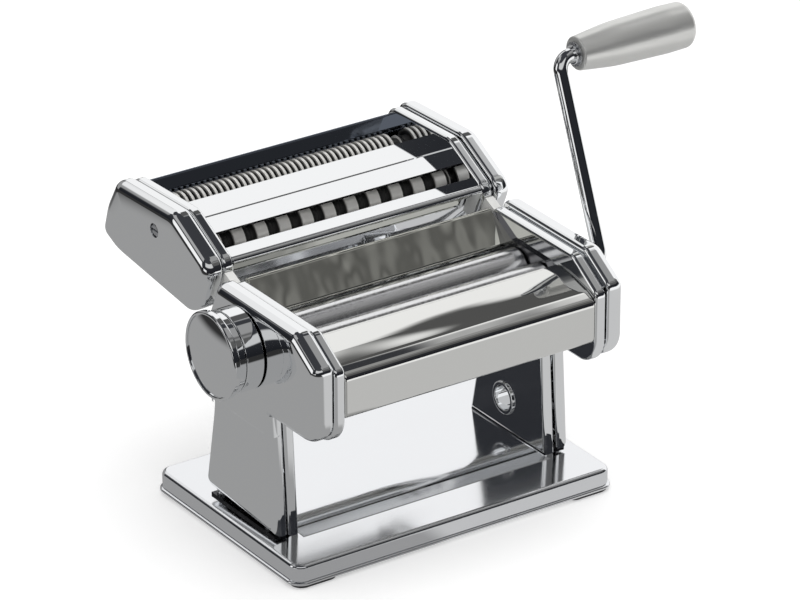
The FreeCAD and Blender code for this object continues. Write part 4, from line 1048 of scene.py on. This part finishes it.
def corners_drawn_in(corners, distance):
    """Corners of an outline drawn in, with arcs that keep their centres."""
    plain = rounded_outline([(u, v, 0) for u, v, _ in corners])
    return [(u - out_u * distance, v - out_v * distance, corner[2] - distance)
            for (u, v, out_u, out_v), corner in zip(plain, corners)]


unit_plate_corners = corners_drawn_in(unit_corners, unit_inset)
unit_chrome = crowned_face("unit_chrome", unit_corners[4::-1], reach=13.0, fall=0.7)
unit_outline = rounded_outline(unit_corners)
wide_front = (40.5, 120.4)
wide_rear = (54.5, 126.0)
fine_front = (80.4, 122.6)
fine_rear = (94.5, 128.0)
unit_bush_hole = 6.65
unit_tie_hole = 2.0
plate_holes = [(*axis, unit_bush_hole) for axis in (wide_front, wide_rear, fine_front, fine_rear)]
plate_holes += [(y, z, unit_tie_hole) for y, z in ((67.0, 126.0), (104.0, 119.8), (28.0, 127.0))]

unit_neck = 3.5
unit_screw = (65.8, 136.3)
dimple_hole = 3.6
dimple_in = dimple_hole + 0.01
dimple_out = 4.8
screw_hole = 1.8
dimple_rim_x = cover_x - 0.6
dimple_floor_x = cover_x - 2.2
dimple_back_x = cover_x - 3.4
dimple_corners = [(dimple_back_x, screw_hole, 0), (dimple_back_x, dimple_out, 0),
                  (dimple_rim_x, dimple_out, 0), (dimple_rim_x, dimple_in, 0),
                  (dimple_floor_x, dimple_in, 0.3), (dimple_floor_x, screw_hole, 0)]
dimple = turned_skin(dimple_corners, unit_screw, count=48)
sockets = [(*wide_front, socket_hole), (*fine_front, socket_hole)]
for side, name, holes in ((-1, "left", []), (1, "right", sockets)):
    make_piece("unit_plate_" + name, "cutter_unit", ["cutter_frame_" + name], "polished_steel",
               chromed_sheet, at_side(rimmed_plate(unit_plate_corners, plate_holes), side))
    cover = deep_cover(unit_outline, cover_x, unit_neck, holes + [(*unit_screw, dimple_hole)])
    make_piece("unit_cover_" + name, "cutter_unit", ["cutter_cover_" + name], "polished_steel",
               unit_chrome, at_side(cover, side), at_side(dimple, side))
dress(plain_steel, "cutter_tie_rods", "cutter_tie_nuts", "cutter_cover_posts",
      "cutter_cover_screws")
make_piece("unit_collar_rings", "cutter_unit", ["cutter_collars"], "polished_steel",
           chromed_sheet, turned_skin(collar_corners, wide_front),
           turned_skin(collar_corners, fine_front))


# Cutter unit sheets
# Three thin polished sheets span the unit: a front plate with its top edge folded down, a roof
# with a crease between the two inlets, and a rear plate that curls over the rear roller. The rear
# plate's dark blue colour is a painted dark reflection.

front_away = 8.9
front_path = [(36.0, 131.8, 0), (35.4, 134.3, 2.4), slope_corner(1.4, front_away, 2.6),
              slope_corner(-21.5, front_away, 3.0), (38.0, 106.8, 0)]
roof_path = [(80.3, 138.2, 0), (61.0, 138.7, 0), (60.3, 137.8, 0), (59.6, 138.7, 0),
             (45.3, 137.4, 0)]
back_path = [(109.4, 117.6, 0), (112.0, 120.2, 3.0), (107.6, 133.4, 12.0), (102.2, 145.3, 1.4),
             (97.6, 138.0, 0.8), (98.2, 136.4, 0)]
# Painted reflection: dark blue colour for the rear plate, in place of the dark reflection it shows
painted_dark_sheet, tree, shader = new_finish("painted_dark_sheet", (0.16, 0.18, 0.22), roughness=0.06)
wiped(tree, shader, scale=60.0, low=0.03, high=0.07)
for name, path, finish in (("cutter_front_plate", front_path, chromed_sheet),
                           ("cutter_roof", roof_path, chromed_sheet),
                           ("cutter_rear_plate", back_path, painted_dark_sheet)):
    make_piece(name + "_sheet", "cutter_unit", [name], "polished_steel", finish,
               bent_sheet(path, thin_sheet, plate_x), sharp=20)


# Cutter rollers
# Two pairs of turned steel rollers pass their ribs between each other and shear the sheet into
# ribbons. The ribs keep the steel's bright colour, and the grooves between them are painted
# dark as shade.

def groove_shade():
    """Group: 1 on what stands out from an axis along X, 0 in the grooves nearer to it."""
    group, entry, leave = value_group(
        "groove_shade", ("Axis Y", "Axis Z", "Groove Radius", "Rib Radius"), ("Mask",))
    place = split_place(group, "ShaderNodeTexCoord", "Object")
    radius = hypotenuse(group, maths(group, "SUBTRACT", place["Y"], entry.outputs["Axis Y"]),
                        maths(group, "SUBTRACT", place["Z"], entry.outputs["Axis Z"]))
    spread = add_node(group, "ShaderNodeMapRange")
    group.links.new(radius, spread.inputs["Value"])
    group.links.new(entry.outputs["Groove Radius"], spread.inputs["From Min"])
    group.links.new(entry.outputs["Rib Radius"], spread.inputs["From Max"])
    group.links.new(spread.outputs["Result"], leave.inputs["Mask"])
    return group


grooves = groove_shade()
groove_radius = 7.2
rib_radius = 8.6
# Painted shade: the mask gives the grooves a near-black colour and the ribs the steel's own colour
painted_groove_shade = (0.05, 0.05, 0.05)
rib_colour = (0.86, 0.85, 0.82)
for name, axis in (("wide_front_roller", wide_front), ("wide_rear_roller", wide_rear),
                   ("fine_front_roller", fine_front), ("fine_rear_roller", fine_rear)):
    cutter_steel, tree, shader = new_finish(name + "_steel", (0.8, 0.8, 0.78), roughness=0.36,
                                            metallic=0.45)
    wiped(tree, shader, scale=120.0, low=0.3, high=0.42, along_x=8.0, along_y=0.5)
    groove = placed_group(tree, grooves, {"Axis Y": axis[0] / 1000, "Axis Z": axis[1] / 1000,
                                          "Groove Radius": groove_radius / 1000,
                                          "Rib Radius": rib_radius / 1000})
    tree.links.new(mix_colours(tree, groove["Mask"], painted_groove_shade, rib_colour),
                   shader.inputs["Base Color"])
    dress(cutter_steel, name)
